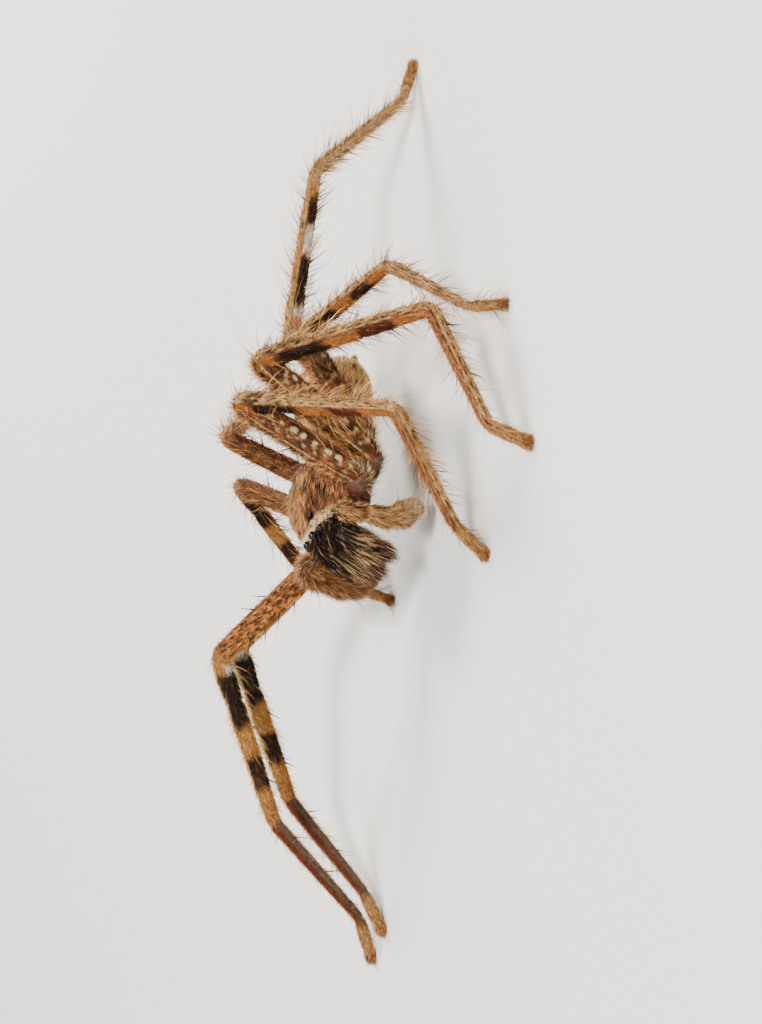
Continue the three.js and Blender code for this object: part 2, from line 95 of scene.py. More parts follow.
def mottle(a, b, seed):  # soft noise from 0 to 1, one bump to each unit
    i, j = np.floor(a), np.floor(b)
    s, t = smooth(a - i, 0, 1), smooth(b - j, 0, 1)
    low = hashed(i, j, seed) * (1 - s) + hashed(i + 1, j, seed) * s
    high = hashed(i, j + 1, seed) * (1 - s) + hashed(i + 1, j + 1, seed) * s
    return low * (1 - t) + high * t


def flecks(a, b, cell, size, seed, stretch=1.0):  # 1 inside scattered round or long flecks
    i, j = np.floor(a / (cell * stretch)), np.floor(b / cell)
    nearest = np.full(np.broadcast(a, b).shape, 9.0)
    for di in (-1, 0, 1):
        for dj in (-1, 0, 1):
            x = (i + di + 0.2 + 0.6 * hashed(i + di, j + dj, seed)) * cell * stretch
            y = (j + dj + 0.2 + 0.6 * hashed(i + di, j + dj, seed + 1)) * cell
            reach = size * (0.6 + 0.7 * hashed(i + di, j + dj, seed + 2))
            nearest = np.minimum(nearest, np.hypot((a - x) / stretch, b - y) / reach)
    return before(nearest, 0.8, 1.15)


tan, gold, brown = colour(200, 152, 100), colour(206, 148, 82), colour(116, 70, 38)
darkBrown, black, cream = colour(58, 34, 23), colour(20, 15, 14), colour(242, 214, 168)
white, paleYellow, orange = colour(248, 238, 222), colour(228, 180, 102), colour(194, 128, 72)
pink, grey = colour(158, 106, 80), colour(150, 134, 118)

# The body stands on the floor with its nose up and its left side a little down
stance = {"noseUp": 10, "leftDown": 2}
noseUp, leftDown = math.radians(stance["noseUp"]), math.radians(stance["leftDown"])
bodyTurn = np.array(Matrix.Rotation(-noseUp, 3, "Y") @ Matrix.Rotation(-leftDown, 3, "X"))

eyes = {
    "front_middle": {"place": (6.05, 0.86, 2.35), "radius": 0.43},
    "front_side": {"place": (5.65, 1.8, 1.9), "radius": 0.38},
    "rear_middle": {"place": (4.1, 1.45, 2.95), "radius": 0.28},
    "rear_side": {"place": (3.95, 3.0, 0.45), "radius": 0.3},
}


def turned(ways):
    return np.asarray(ways, float) @ bodyTurn.T


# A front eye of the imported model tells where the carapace's centre is
eyeLow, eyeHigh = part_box("left_front_middle_eye")
origin = np.array((eyeLow + eyeHigh) / 2) / mm - turned(eyes["front_middle"]["place"])


def inBody(points):
    return turned(points) + origin


def fromBody(points):
    return (np.asarray(points, float) - origin) @ bodyTurn


camera = {  # place, aim and up are from the floor under the carapace's centre
    "place": (158.10, 205.32, 87.78),
    "aim": (8.03, 8.52, 8.12),
    "pictureUp": (-0.8027, 0.5948, 0.0427),
    "lens": 94.15,
    "sensor": 36,
}


def makeCamera():
    back = unit(np.subtract(camera["place"], camera["aim"]))
    right = unit(np.cross(camera["pictureUp"], back))
    data = bpy.data.cameras.new("camera")
    data.lens, data.sensor_width = camera["lens"], camera["sensor"]
    data.clip_start, data.clip_end = 0.01, 10
    cam = bpy.data.objects.new("camera", data)
    axes = np.array([right, np.cross(back, right), back]).T
    place = (origin * (1, 1, 0) + camera["place"]) * mm
    cam.matrix_world = Matrix.Translation(place.tolist()) @ Matrix(axes.tolist()).to_4x4()
    bpy.context.scene.collection.objects.link(cam)
    bpy.context.scene.camera = cam


lamps = {
    "key": {"place": (0.22, 0.42, 0.5), "size": 0.22, "power": 9.5, "colour": (1, 0.95, 0.88)},
    "fill": {"place": (0.45, -0.1, 0.35), "size": 0.5, "power": 3.0, "colour": (0.95, 0.97, 1)},
    "rim": {"place": (-0.45, -0.15, 0.4), "size": 0.25, "power": 8.0, "colour": (1, 0.95, 0.86)},
}
room = {"light": (1, 0.985, 0.96, 1), "strength": 0.36, "floor": (0.7, 0.69, 0.67, 1), "reach": 3.0}


def makeLamp(name, place, size, power, colour):
    data = bpy.data.lights.new(name, "AREA")
    data.shape, data.size, data.energy, data.color = "DISK", size, power, colour
    lamp = bpy.data.objects.new(name, data)
    lamp.location = place
    lamp.rotation_euler = (-Vector(place)).to_track_quat("-Z", "Y").to_euler()
    bpy.context.scene.collection.objects.link(lamp)


def makeRoom():
    world = bpy.data.worlds.new("studio")
    world.use_nodes = True
    backdrop = world.node_tree.nodes["Background"]
    backdrop.inputs["Color"].default_value = room["light"]
    backdrop.inputs["Strength"].default_value = room["strength"]
    bpy.context.scene.world = world
    mesh = bpy.data.meshes.new("floor")
    reach = room["reach"]
    corners = [(-reach, -reach, 0), (reach, -reach, 0), (reach, reach, 0), (-reach, reach, 0)]
    mesh.from_pydata(corners, [], [(0, 1, 2, 3)])
    floor = bpy.data.objects.new("floor", mesh)
    bpy.context.scene.collection.objects.link(floor)
    paint = bpy.data.materials.new("floorPaint")
    paint.use_nodes = True
    shader = paint.node_tree.nodes["Principled BSDF"]
    shader.inputs["Base Color"].default_value = room["floor"]
    shader.inputs["Roughness"].default_value = 0.9
    mesh.materials.append(paint)


makeCamera()
for name, lamp in lamps.items():
    makeLamp(name, **lamp)
makeRoom()
print("camera, lamps and floor are ready")


class Wire:  # a node's output, so that formulas among nodes read as they do among numbers
    def __init__(self, node, name=None):
        self.node = node
        self.socket = next(s for s in node.outputs if s.enabled and name in (None, s.name))

    def out(self, name):  # another output of the same node
        return Wire(self.node, name)

    def into(self, node, name):
        self.node.id_data.links.new(self.socket, node.inputs[name])

    def maths(self, operation, other, turnedRound=False):
        tree, values = self.node.id_data, {0: self, 1: other}
        if turnedRound:
            values = {0: other, 1: self}
        if self.socket.type not in ("VECTOR", "RGBA"):
            return addNode(tree, "ShaderNodeMath", values, operation=operation)
        if operation == "MULTIPLY":
            operation, values = "SCALE", {"Vector": self, "Scale": other}
        return addNode(tree, "ShaderNodeVectorMath", values, operation=operation)

    def __add__(self, other):
        return self.maths("ADD", other)

    def __sub__(self, other):
        return self.maths("SUBTRACT", other)

    def __rsub__(self, other):
        return self.maths("SUBTRACT", other, True)

    def __mul__(self, other):
        return self.maths("MULTIPLY", other)

    def __truediv__(self, other):
        return self.maths("DIVIDE", other)

    __radd__, __rmul__ = __add__, __mul__


def addNode(tree, kind, inputs=None, **settings):
    node = tree.nodes.new(kind)
    for key, value in settings.items():
        setattr(node, key, value)
    for name, value in (inputs or {}).items():
        socket = node.inputs[name]
        if isinstance(name, str):
            socket = next(s for s in node.inputs if s.enabled and s.name == name)
        if isinstance(value, Wire):
            tree.links.new(value.socket, socket)
        else:
            socket.default_value = value
    return Wire(node)


def remapped(tree, value, low, high, fromLow=0.0, fromHigh=1.0):
    return addNode(tree, "ShaderNodeMapRange", {
        "Value": value, "From Min": fromLow, "From Max": fromHigh, "To Min": low, "To Max": high})


def newMaterial(name, roughness, coat=0.0, level=0.5):
    material = bpy.data.materials.new(name)
    material.use_nodes = True
    shader = material.node_tree.nodes["Principled BSDF"]
    for key, value in (("Roughness", roughness), ("Coat Weight", coat), ("Specular IOR Level", level)):
        shader.inputs[key].default_value = value
    return material, material.node_tree, shader


depthOfColour = 1.25  # skin and hair are a little deeper in colour than their tints


def deepTint(tree, name):
    tint = addNode(tree, "ShaderNodeAttribute", attribute_name=name)
    return addNode(tree, "ShaderNodeGamma", {"Color": tint, "Gamma": depthOfColour})


def grained(tree, shader, scale, detail, depth, strength):  # fine bumps, and the noise that makes them
    place = addNode(tree, "ShaderNodeTexCoord").out("Object")
    noise = addNode(tree, "ShaderNodeTexNoise", {"Vector": place, "Scale": scale, "Detail": detail})
    bump = addNode(tree, "ShaderNodeBump", {"Height": noise, "Distance": depth * mm, "Strength": strength})
    bump.into(shader, "Normal")
    return noise


def skinMaterial(name, roughness, grain, depth):  # the attributes shade and gloss vary it over the body
    material, tree, shader = newMaterial(name, roughness, level=0.25)
    own, gloss = (addNode(tree, "ShaderNodeAttribute", attribute_name=kind).out("Fac")
                  for kind in ("shade", "gloss"))
    noise = grained(tree, shader, grain, 4.0, depth, 0.6)
    shade = remapped(tree, noise, 0.72, 1.2, 0.3, 0.7) * own
    (deepTint(tree, "tint") * shade).into(shader, "Base Color")
    remapped(tree, gloss, roughness, 0.22).into(shader, "Roughness")
    return material


def hairMaterial(name, roughness, rootShade, tipShade):
    material, tree, shader = newMaterial(name, roughness, level=0.15)
    along = addNode(tree, "ShaderNodeAttribute", attribute_name="alongHair").out("Fac")
    shade = remapped(tree, along, rootShade, tipShade, 0.0, 0.8)
    (deepTint(tree, "hairTint") * shade).into(shader, "Base Color")
    return material


def glossMaterial(name, base, roughness, coat, grain, depth, level=0.5):
    material, tree, shader = newMaterial(name, roughness, coat, level)
    shade = remapped(tree, grained(tree, shader, grain, 3.0, depth, 0.3), 0.7, 1.3)
    addNode(tree, "ShaderNodeVectorMath", {"Vector": tuple(base), "Scale": shade},
            operation="SCALE").into(shader, "Base Color")
    return material


cuticle = skinMaterial("cuticle", 0.7, 2200, 0.05)
pile = hairMaterial("pile", 0.5, 0.22, 1.45)
down = hairMaterial("down", 0.6, 0.45, 1.3)
bristleHair = hairMaterial("bristleHair", 0.4, 0.5, 1.2)
eyeGlass = glossMaterial("eyeGlass", colour(10, 8, 9), 0.05, 0.0, 900, 0.002, level=0.3)
fangHorn = glossMaterial("fangHorn", colour(34, 16, 12), 0.3, 0.1, 1500, 0.01)
spineHorn = glossMaterial("spineHorn", colour(30, 20, 16), 0.35, 0.0, 3000, 0.01)


def newTree(name, inputs):  # a node group with a geometry and the inputs given, and what it is given
    tree = bpy.data.node_groups.new(name, "GeometryNodeTree")
    kinds = {str: "String", float: "Float", int: "Int", type(None): "Material"}
    for way in ("INPUT", "OUTPUT"):
        tree.interface.new_socket("Geometry", in_out=way, socket_type="NodeSocketGeometry")
    for key, value in inputs.items():
        socket = tree.interface.new_socket(key, in_out="INPUT",
                                           socket_type="NodeSocket" + kinds[type(value)])
        if value is not None:
            socket.default_value = value
    return tree, Wire(tree.nodes.new("NodeGroupInput"))


def named(tree, name, kind="FLOAT"):
    return addNode(tree, "GeometryNodeInputNamedAttribute", {"Name": name}, data_type=kind)


def stored(tree, geometry, name, value, kind="FLOAT", domain="POINT"):
    return addNode(tree, "GeometryNodeStoreNamedAttribute", {
        "Geometry": geometry, "Name": name, "Value": value}, data_type=kind, domain=domain)


def combined(tree, *parts):
    return addNode(tree, "ShaderNodeCombineXYZ", dict(enumerate(parts)))


def placeParts(tree):  # the three parts of each point's place
    split = addNode(tree, "ShaderNodeSeparateXYZ", {0: addNode(tree, "GeometryNodeInputPosition")})
    return [split.out(axis) for axis in "XYZ"]


def moved(tree, geometry, place):
    return addNode(tree, "GeometryNodeSetPosition", {"Geometry": geometry, "Position": place})


def randomNumber(tree, low, high, seed, kind="FLOAT"):
    return addNode(tree, "FunctionNodeRandomValue", {"Min": low, "Max": high, "Seed": seed},
                   data_type=kind)


def hairShape(tree, sides, segments, bend, fullness):
    cone = addNode(tree, "GeometryNodeMeshCone", {
        "Vertices": sides, "Side Segments": segments, "Radius Top": 0.0, "Radius Bottom": 1.0,
        "Depth": 1.0})
    x, y, height = placeParts(tree)
    shape = stored(tree, cone, "alongHair", height)
    shape = stored(tree, shape, "patch", combined(tree, (x * 0.8 + y * 0.6) * 0.5, height), "FLOAT_VECTOR")
    wide = height * (1 - height) * fullness + 1.0
    return moved(tree, shape, combined(tree, x * wide + height * height * bend, y * wide, height))


patchSize = 0.003  # width of a hair's patch on the map for baking


def placeHairs(tree, points, shape, way, outward, thickness, length):
    turn = addNode(tree, "FunctionNodeAxesToRotation", {"Primary Axis": way, "Secondary Axis": outward},
                   primary_axis="Z", secondary_axis="X")
    hairs = addNode(tree, "GeometryNodeInstanceOnPoints", {
        "Points": points, "Instance": shape, "Rotation": turn,
        "Scale": combined(tree, thickness * mm, thickness * mm, length * mm)})
    real = addNode(tree, "GeometryNodeRealizeInstances", {"Geometry": hairs})
    x, y, height = placeParts(tree)
    real = moved(tree, real, combined(tree, x, y, height.maths("MAXIMUM", 0.02 * mm)))
    bakeMap = named(tree, "rootUv", "FLOAT_VECTOR") + named(tree, "patch", "FLOAT_VECTOR") * patchSize
    return stored(tree, real, "OFBake", bakeMap, "FLOAT2", "CORNER")


def finishTree(tree, geometry, material):
    smoothed = addNode(tree, "GeometryNodeSetShadeSmooth", {"Geometry": geometry})
    dressed = addNode(tree, "GeometryNodeSetMaterial", {"Geometry": smoothed, "Material": material})
    dressed.into(tree.nodes.new("NodeGroupOutput"), "Geometry")


def makeCoatTree():
    tree, given = newTree("coat", {
        "Density name": "coatDensity", "Hairs per square mm": 30.0, "Length name": "coatLength",
        "Length": 1.0, "Thickness": 0.03, "Tint name": "tint", "Lift": 0.4, "Scatter": 0.25, "Bend": 0.0,
        "Clump": 0.9, "Clumps per metre": 3600.0, "Contrast": 0.45, "Segments": 1, "Seed": 1,
        "Hair": None})
    seed, thick, contrast = (given.out(name) for name in ("Seed", "Thickness", "Contrast"))
    density = named(tree, given.out("Density name")) * given.out("Hairs per square mm")
    points = addNode(tree, "GeometryNodeDistributePointsOnFaces", {
        "Mesh": given, "Density": density * 1e6, "Seed": seed}, distribute_method="RANDOM")
    normal = points.out("Normal")
    chosen = randomNumber(tree, 0.0, 1.0, seed + 11).maths("LESS_THAN", named(tree, "secondShare"))
    tint = addNode(tree, "ShaderNodeMix", {
        "Factor": chosen, "A": named(tree, given.out("Tint name"), "FLOAT_COLOR"),
        "B": named(tree, "secondTint", "FLOAT_COLOR")}, data_type="RGBA")
    # hairs that stand near each other lean and shade alike
    clump = addNode(tree, "ShaderNodeTexNoise", {
        "Vector": addNode(tree, "GeometryNodeInputPosition"), "Scale": given.out("Clumps per metre"),
        "Detail": 1.0})
    shade = remapped(tree, clump, 1.0 - contrast, 1.0 + contrast, 0.36, 0.64)
    tint = tint * (shade * randomNumber(tree, 0.6, 1.4, seed + 12))
    tinted = stored(tree, points, "hairTint", tint, "FLOAT_COLOR")
    length = (named(tree, given.out("Length name")) * randomNumber(tree, 0.65, 1.2, seed + 13)
              * given.out("Length"))
    jitter = randomNumber(tree, (-1, -1, -1), (1, 1, 1), seed + 14, "FLOAT_VECTOR")
    lift = given.out("Lift") * randomNumber(tree, 0.5, 1.5, seed + 15)
    way = (named(tree, "lie", "FLOAT_VECTOR") + normal * lift + jitter * given.out("Scatter")
           + (clump.out("Color") - (0.5, 0.5, 0.5)) * given.out("Clump"))
    # a short hair is thinner, but less than it is shorter
    thickness = (length * 0.5 + 0.5) * thick
    shape = hairShape(tree, 3, given.out("Segments"), given.out("Bend") / thick, 1.2)
    hairs = placeHairs(tree, tinted, shape, way, normal, thickness, length)
    finishTree(tree, hairs, given.out("Hair"))
    return tree


def makeSpineTree():
    tree, given = newTree("spines", {"Length": 2.2, "Thickness": 0.09, "Bend": -0.12, "Seed": 1,
                                     "Horn": None})
    size = named(tree, "size")
    length = size * randomNumber(tree, 0.85, 1.15, given.out("Seed")) * given.out("Length")
    spines = placeHairs(
        tree, addNode(tree, "GeometryNodeMeshToPoints", {"Mesh": given}),
        hairShape(tree, 6, 4, given.out("Bend"), 0.6), named(tree, "way", "FLOAT_VECTOR"),
        named(tree, "outward", "FLOAT_VECTOR"), size * given.out("Thickness"), length)
    finishTree(tree, spines, given.out("Horn"))
    return tree


coatTree, spineTree = makeCoatTree(), makeSpineTree()
print("node trees are ready")


def grown(name, base, tree, inputs):  # what the tree makes of a base mesh, as a plain mesh
    holder = bpy.data.objects.new(name + "Base", base)
    bpy.context.scene.collection.objects.link(holder)
    modifier = holder.modifiers.new("grow", "NODES")
    modifier.node_group = tree
    for item in tree.interface.items_tree:
        if item.in_out == "INPUT" and item.name in inputs:
            modifier[item.identifier] = inputs[item.name]
    made = bpy.data.meshes.new_from_object(holder.evaluated_get(bpy.context.evaluated_depsgraph_get()))
    bpy.data.objects.remove(holder)
    made.name = name
    return made


keptAttributes = {"hairTint", "alongHair", "OFBake", "position", "tint", "shade", "gloss", "sharp_face",
                  "material_index"}


def addPiece(name, mesh, replaced=()):
    for attribute in [a.name for a in mesh.attributes
                      if a.name not in keptAttributes and not a.name.startswith(".")]:
        mesh.attributes.remove(mesh.attributes[attribute])
    piece = bpy.data.objects.new(name, mesh)
    bpy.context.scene.collection.objects.link(piece)
    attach(piece, "root")
    if replaced:
        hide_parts(*replaced)
    mesh.calc_loop_triangles()
    print(name, len(mesh.loop_triangles), "triangles")
    return piece


# a surface is closed rings of places, with a pole at each end and values at each place
def shell(rings, values, firstPole, lastPole):
    count, around = rings.shape[:2]
    (i, k), spot = np.indices((count - 1, around)), np.arange(around)
    points = np.concatenate([rings.reshape(-1, 3), [firstPole, lastPole]])

    def faces(*corners):  # a corner is its ring and its spot round it, half a ring further for a pole
        spread = np.array([np.broadcast_arrays(*corner) for corner in corners], float)
        ring, turn = spread.reshape(len(corners), 2, -1).transpose(1, 2, 0)
        poles = np.where(ring < 0, count * around, count * around + 1)
        index = np.where((ring < 0) | (ring > count - 1), poles, ring * around + turn % around)
        return index.astype(int), np.stack([(ring + 0.5) / count, turn / around], -1)

    quads, quadUv = faces((i, k), (i, k + 1), (i + 1, k + 1), (i + 1, k))
    first, firstUv = faces((-0.5, spot + 0.5), (0, spot + 1), (0, spot))
    last, lastUv = faces((count - 0.5, spot + 0.5), (count - 1, spot), (count - 1, spot + 1))
    a, b, c, d = (points[quads[:, n]] for n in range(4))
    inward = (np.einsum("ij,ij->i", a, np.cross(b, c)) + np.einsum("ij,ij->i", a, np.cross(c, d))).sum() < 0
    order = slice(None, None, -1 if inward else 1)
    made = {"points": points, "quads": quads[:, order], "quadUv": quadUv[:, order],
            "triangles": np.concatenate([first, last])[:, order],
            "triangleUv": np.concatenate([firstUv, lastUv])[:, order]}
    for name, value in values.items():
        flat = value.reshape(count * around, -1)
        made[name] = np.concatenate([flat, [flat[:around].mean(0), flat[-around:].mean(0)]])
    return made


def joined(parts):
    starts = np.cumsum([0] + [len(part["points"]) for part in parts[:-1]])
    return {key: np.concatenate([part[key] + (start if key in ("quads", "triangles") else 0)
                                 for part, start in zip(parts, starts)]) for key in parts[0]}


def setValues(mesh, name, kind, values, domain="POINT"):
    field = {"FLOAT": "value", "FLOAT_COLOR": "color"}.get(kind, "vector")
    data = mesh.attributes.new(name, kind, domain).data
    data.foreach_set(field, np.asarray(values, np.float32).ravel())


def pointMesh(name, points):
    mesh = bpy.data.meshes.new(name)
    mesh.vertices.add(len(points))
    mesh.vertices.foreach_set("co", (np.array(points) * mm).astype(np.float32).ravel())
    return mesh


def meshOf(name, part, material=None):
    mesh, quads, triangles = pointMesh(name, part["points"]), part["quads"], part["triangles"]
    corners = np.concatenate([quads.ravel(), triangles.ravel()])
    mesh.loops.add(len(corners))
    mesh.loops.foreach_set("vertex_index", corners.astype(np.int32))
    mesh.polygons.add(len(quads) + len(triangles))
    starts = np.concatenate([np.arange(len(quads)) * 4, quads.size + np.arange(len(triangles)) * 3])
    mesh.polygons.foreach_set("loop_start", starts.astype(np.int32))
    mesh.update(calc_edges=True)
    mesh.polygons.foreach_set("use_smooth", np.ones(len(starts), bool))
    for key in surfaceDefaults:
        value = part[key]
        if key.lower().endswith("tint"):
            setValues(mesh, key, "FLOAT_COLOR", np.c_[value, np.ones(len(value))])
        else:
            setValues(mesh, key, "FLOAT" if value.shape[1] == 1 else "FLOAT_VECTOR", value)
    setValues(mesh, "rootUv", "FLOAT2", np.concatenate([part["quadUv"].reshape(-1, 2),
                                                        part["triangleUv"].reshape(-1, 2)]), "CORNER")
    if material:
        mesh.materials.append(material)
    return mesh


def curveThrough(points, count):  # evenly spaced places on a smooth curve through the points
    points = np.asarray(points, float)
    padded = np.concatenate([2 * points[:1] - points[1:2], points, 2 * points[-1:] - points[-2:-1]])
    t = np.linspace(0, 1, 24, endpoint=False)[:, None]
    pieces = []
    for k in range(len(points) - 1):
        a, b, c, d = padded[k:k + 4]
        pieces.append(0.5 * (2 * b + (c - a) * t + (2 * a - 5 * b + 4 * c - d) * t * t
                             + (3 * b - a - 3 * c + d) * t ** 3))
    fine = np.concatenate(pieces + [points[-1:]])
    reached = np.concatenate([[0], np.cumsum(np.linalg.norm(np.diff(fine, axis=0), axis=1))])
    shares = np.linspace(0, 1, count)
    places = [np.interp(shares * reached[-1], reached, values) for values in fine.T]
    return np.stack(places, 1), shares


def carried(ways, start, first):  # a square way kept from twisting along a path
    backs = np.zeros_like(ways)
    backs[start] = unit(first - ways[start] * np.dot(first, ways[start]))
    for order in (range(start + 1, len(ways)), range(start - 1, -1, -1)):
        for k in order:
            last = backs[k - 1] if k > start else backs[k + 1]
            backs[k] = unit(last - ways[k] * np.dot(last, ways[k]))
    return backs


def domed(places, ways, backs, radii):  # rings added over each end, closing it in a dome
    for end, sign, angles in ((0, -1, (75, 55, 35, 15)), (-1, 1, (15, 35, 55, 75))):
        angles = np.radians(angles)
        dome = (places[end] + sign * ways[end] * (radii[end] * np.sin(angles))[:, None],
                np.repeat(ways[[end]], 4, 0), np.repeat(backs[[end]], 4, 0), radii[end] * np.cos(angles))
        places, ways, backs, radii = (np.concatenate([new, old][::-sign])
                                      for new, old in zip(dome, (places, ways, backs, radii)))
    return places, ways, backs, radii


def tubeRings(places, ways, backs, radii, around):
    sides = np.cross(ways, backs)
    turn = 2 * np.pi * np.arange(around) / around
    spoke = backs[:, None] * np.cos(turn)[None, :, None] + sides[:, None] * np.sin(turn)[None, :, None]
    return places[:, None] + spoke * radii[:, None, None], spoke, turn


# root and hip in the body's frame on the left side, lengths of femur, tibia with patella, metatarsus and
# tarsus, and how stout the leg is
legSizes = {number: dict(zip(("root", "hip", "lengths", "stout"), sizes)) for number, sizes in {
    1: ((2.2, 3.2, -1.9), (3.6, 8.6, 0.1), (13.5, 18.5, 13.4, 4.4), 1.0),
    2: ((0.4, 3.4, -1.9), (0.8, 8.8, -1.4), (14.6, 18.7, 14.4, 4.6), 1.02),
    3: ((-1.7, 3.3, -1.9), (-2.4, 7.0, -1.3), (12.6, 14.3, 10.1, 3.9), 0.86),
    4: ((-3.6, 2.7, -1.9), (-5.5, 5.6, -1.6), (12.8, 17.7, 12.0, 4.3), 0.88),
}.items()}
# heading towards the leg's own side and rise of femur, tibia and metatarsus, then the tarsus's heading
legPose = {
    ("left", 1): ((169, 57), (51, -37), (-54, -34), 10),
    ("left", 2): ((151, 53), (76, -45), (0, -13), 30),
    ("left", 3): ((163, 28), (81, -19), (22, -37), 57),
    ("left", 4): ((174, 32), (154, -9), (138, -48), 159),
    ("right", 1): ((75, 32), (36, -21), (22, -42), 38),
    ("right", 2): ((78, 26), (50, -24), (-13, -23), -2),
    ("right", 3): ((147, 34), (60, -42), (-48, -18), -39),
    ("right", 4): ((171, 55), (140, -24), (153, -39), 156),
}
legForm = {
    "radii": {  # half thickness with its coat, along coxa, femur, tibia, metatarsus and tarsus
        0: [(0, 1.0), (0.45, 1.25), (0.66, 1.12), (0.78, 1.28), (1, 1.12)],
        1: [(0, 1.05), (0.14, 1.28), (0.42, 1.38), (0.78, 1.26), (1, 1.12)],
        2: [(0, 1.1), (0.13, 1.2), (0.25, 1.02), (0.36, 1.1), (0.7, 1.02), (1, 0.86)],
        3: [(0, 0.86), (0.5, 0.78), (1, 0.68)],
        4: [(0, 0.68), (0.5, 0.72), (1, 0.58)],
    },
    "coatDepth": (0.1, 0.16, 0.2, 0.18, 0.14),
    "coatLength": (0.45, 0.5, 0.45, 0.45, 0.42),
    "coatDensity": (0.35, 0.75, 1.0, 1.0, 1.4),
    "bristles": (0.1, 0.6, 1.0, 1.0, 0.5),
    "fringe": (0.3, 0.7, 1.0, 1.0, 0.9),
    "bristleReach": [(0, 1.9), (5, 1.9), (9, 1.7), (20, 3.0), (48, 2.9), (58, 1.2)],  # mm along the leg
    "joints": ((0, 0.66), (0, 1.0), (2, 0.27), (2, 1.0), (3, 1.0)),  # segment and share of each groove
    "groove": 0.1, "grooveWidth": 0.22, "corner": 0.9, "toeShare": 0.78, "toeRadius": 0.58,
}
# distance between rings in each segment, and places round a ring
legGrids = {"skin": ((0.3, 0.16, 0.34, 0.36, 0.3), 36), "coat": ((0.14,) * 5, 80)}


def legJoints(side, number):
    sizes, mirror = legSizes[number], np.array((1, sideSign[side], 1))
    places = [inBody(sizes["root"] * mirror), inBody(sizes["hip"] * mirror)]
    *ways, lastHeading = legPose[side, number]
    for (heading, rise), length in zip(ways, sizes["lengths"]):
        heading, rise = math.radians(heading), math.radians(rise)
        way = np.array((math.cos(heading) * math.cos(rise), math.sin(heading) * math.cos(rise),
                        math.sin(rise)))
        places.append(places[-1] + way * mirror * length)
    drop = legForm["toeShare"] * legForm["toeRadius"] * sizes["stout"] - places[-1][2]
    level = math.sqrt(sizes["lengths"][3] ** 2 - drop ** 2)
    heading = math.radians(lastHeading)
    toe = np.array((math.cos(heading) * level, math.sin(heading) * level, drop)) * mirror
    return np.array([*places, places[-1] + toe])


def legPath(joints, step):  # straight runs with rounded corners: places, segment, share of the segment
    corner = legForm["corner"]
    lengths = np.linalg.norm(np.diff(joints, axis=0), axis=1)
    ways = unit(np.diff(joints, axis=0))
    places, segments, shares = [], [], []
    for k in range(5):
        low, high = (corner if k else 0), lengths[k] - (corner if k < 4 else 0)
        along = np.linspace(low, high, max(3, int((high - low) / step[k])))
        places.append(joints[k] + ways[k] * along[:, None])
        segments.append(np.full(len(along), k))
        shares.append(along / lengths[k])
        if k < 4:
            t, joint = np.linspace(0, 1, 12)[1:-1], joints[k + 1]
            start, end = joint - ways[k] * corner, joint + ways[k + 1] * corner
            places.append(start * ((1 - t) ** 2)[:, None] + joint * (2 * t * (1 - t))[:, None]
                          + end * (t * t)[:, None])
            segments.append(np.where(t < 0.5, k, k + 1))
            shares.append(np.where(t < 0.5, 1 - corner * (1 - 2 * t) / lengths[k],
                                   corner * (2 * t - 1) / lengths[k + 1]))
    return np.concatenate(places), np.concatenate(segments), np.concatenate(shares), ways, lengths


def legRadii(segments, shares, stout, lengths):
    radii = np.zeros(len(shares))
    for k, outline in legForm["radii"].items():
        here = segments == k
        radii[here] = np.interp(shares[here], *zip(*outline)) * stout
    radii -= np.array(legForm["coatDepth"])[segments]
    starts = np.concatenate([[0], np.cumsum(lengths)])
    reached = starts[segments] + shares * lengths[segments]
    radii = np.convolve(np.pad(radii, 2, mode="edge"), np.ones(5) / 5, "valid")  # softens the joints
    for segment, share in legForm["joints"]:
        at = starts[segment] + share * lengths[segment]
        radii -= legForm["groove"] * np.exp(-(((reached - at) / legForm["grooveWidth"]) ** 2))
    return radii, reached


def rowOff(degrees, row):  # degrees round the leg from a row
    return abs((degrees - row + 180) % 360 - 180)


def nearRow(degrees, row, outer, inner):  # 1 within inner degrees of a row, 0 past outer
    return before(rowOff(degrees, row), inner, outer)


# 1 inside the marks of each row: place, period, half length, half width
def rowMarks(along, degrees, rows, seed):
    found = np.zeros(np.shape(along + degrees))
    for row, period, half, width in rows:
        i, nearest = np.floor(along / period), np.full(found.shape, 9.0)
        for step in (-1, 0, 1):
            centre = (i + step + 0.32 + 0.36 * hashed(i + step, row, seed)) * period
            reach = 0.75 + 0.5 * hashed(i + step, row, seed + 1)
            off = abs((along - centre) / half) ** 3 + (rowOff(degrees, row) / width) ** 3
            nearest = np.minimum(nearest, off ** 0.333 / reach)
        found = np.maximum(found, before(nearest, 0.8, 1.2))
    return found


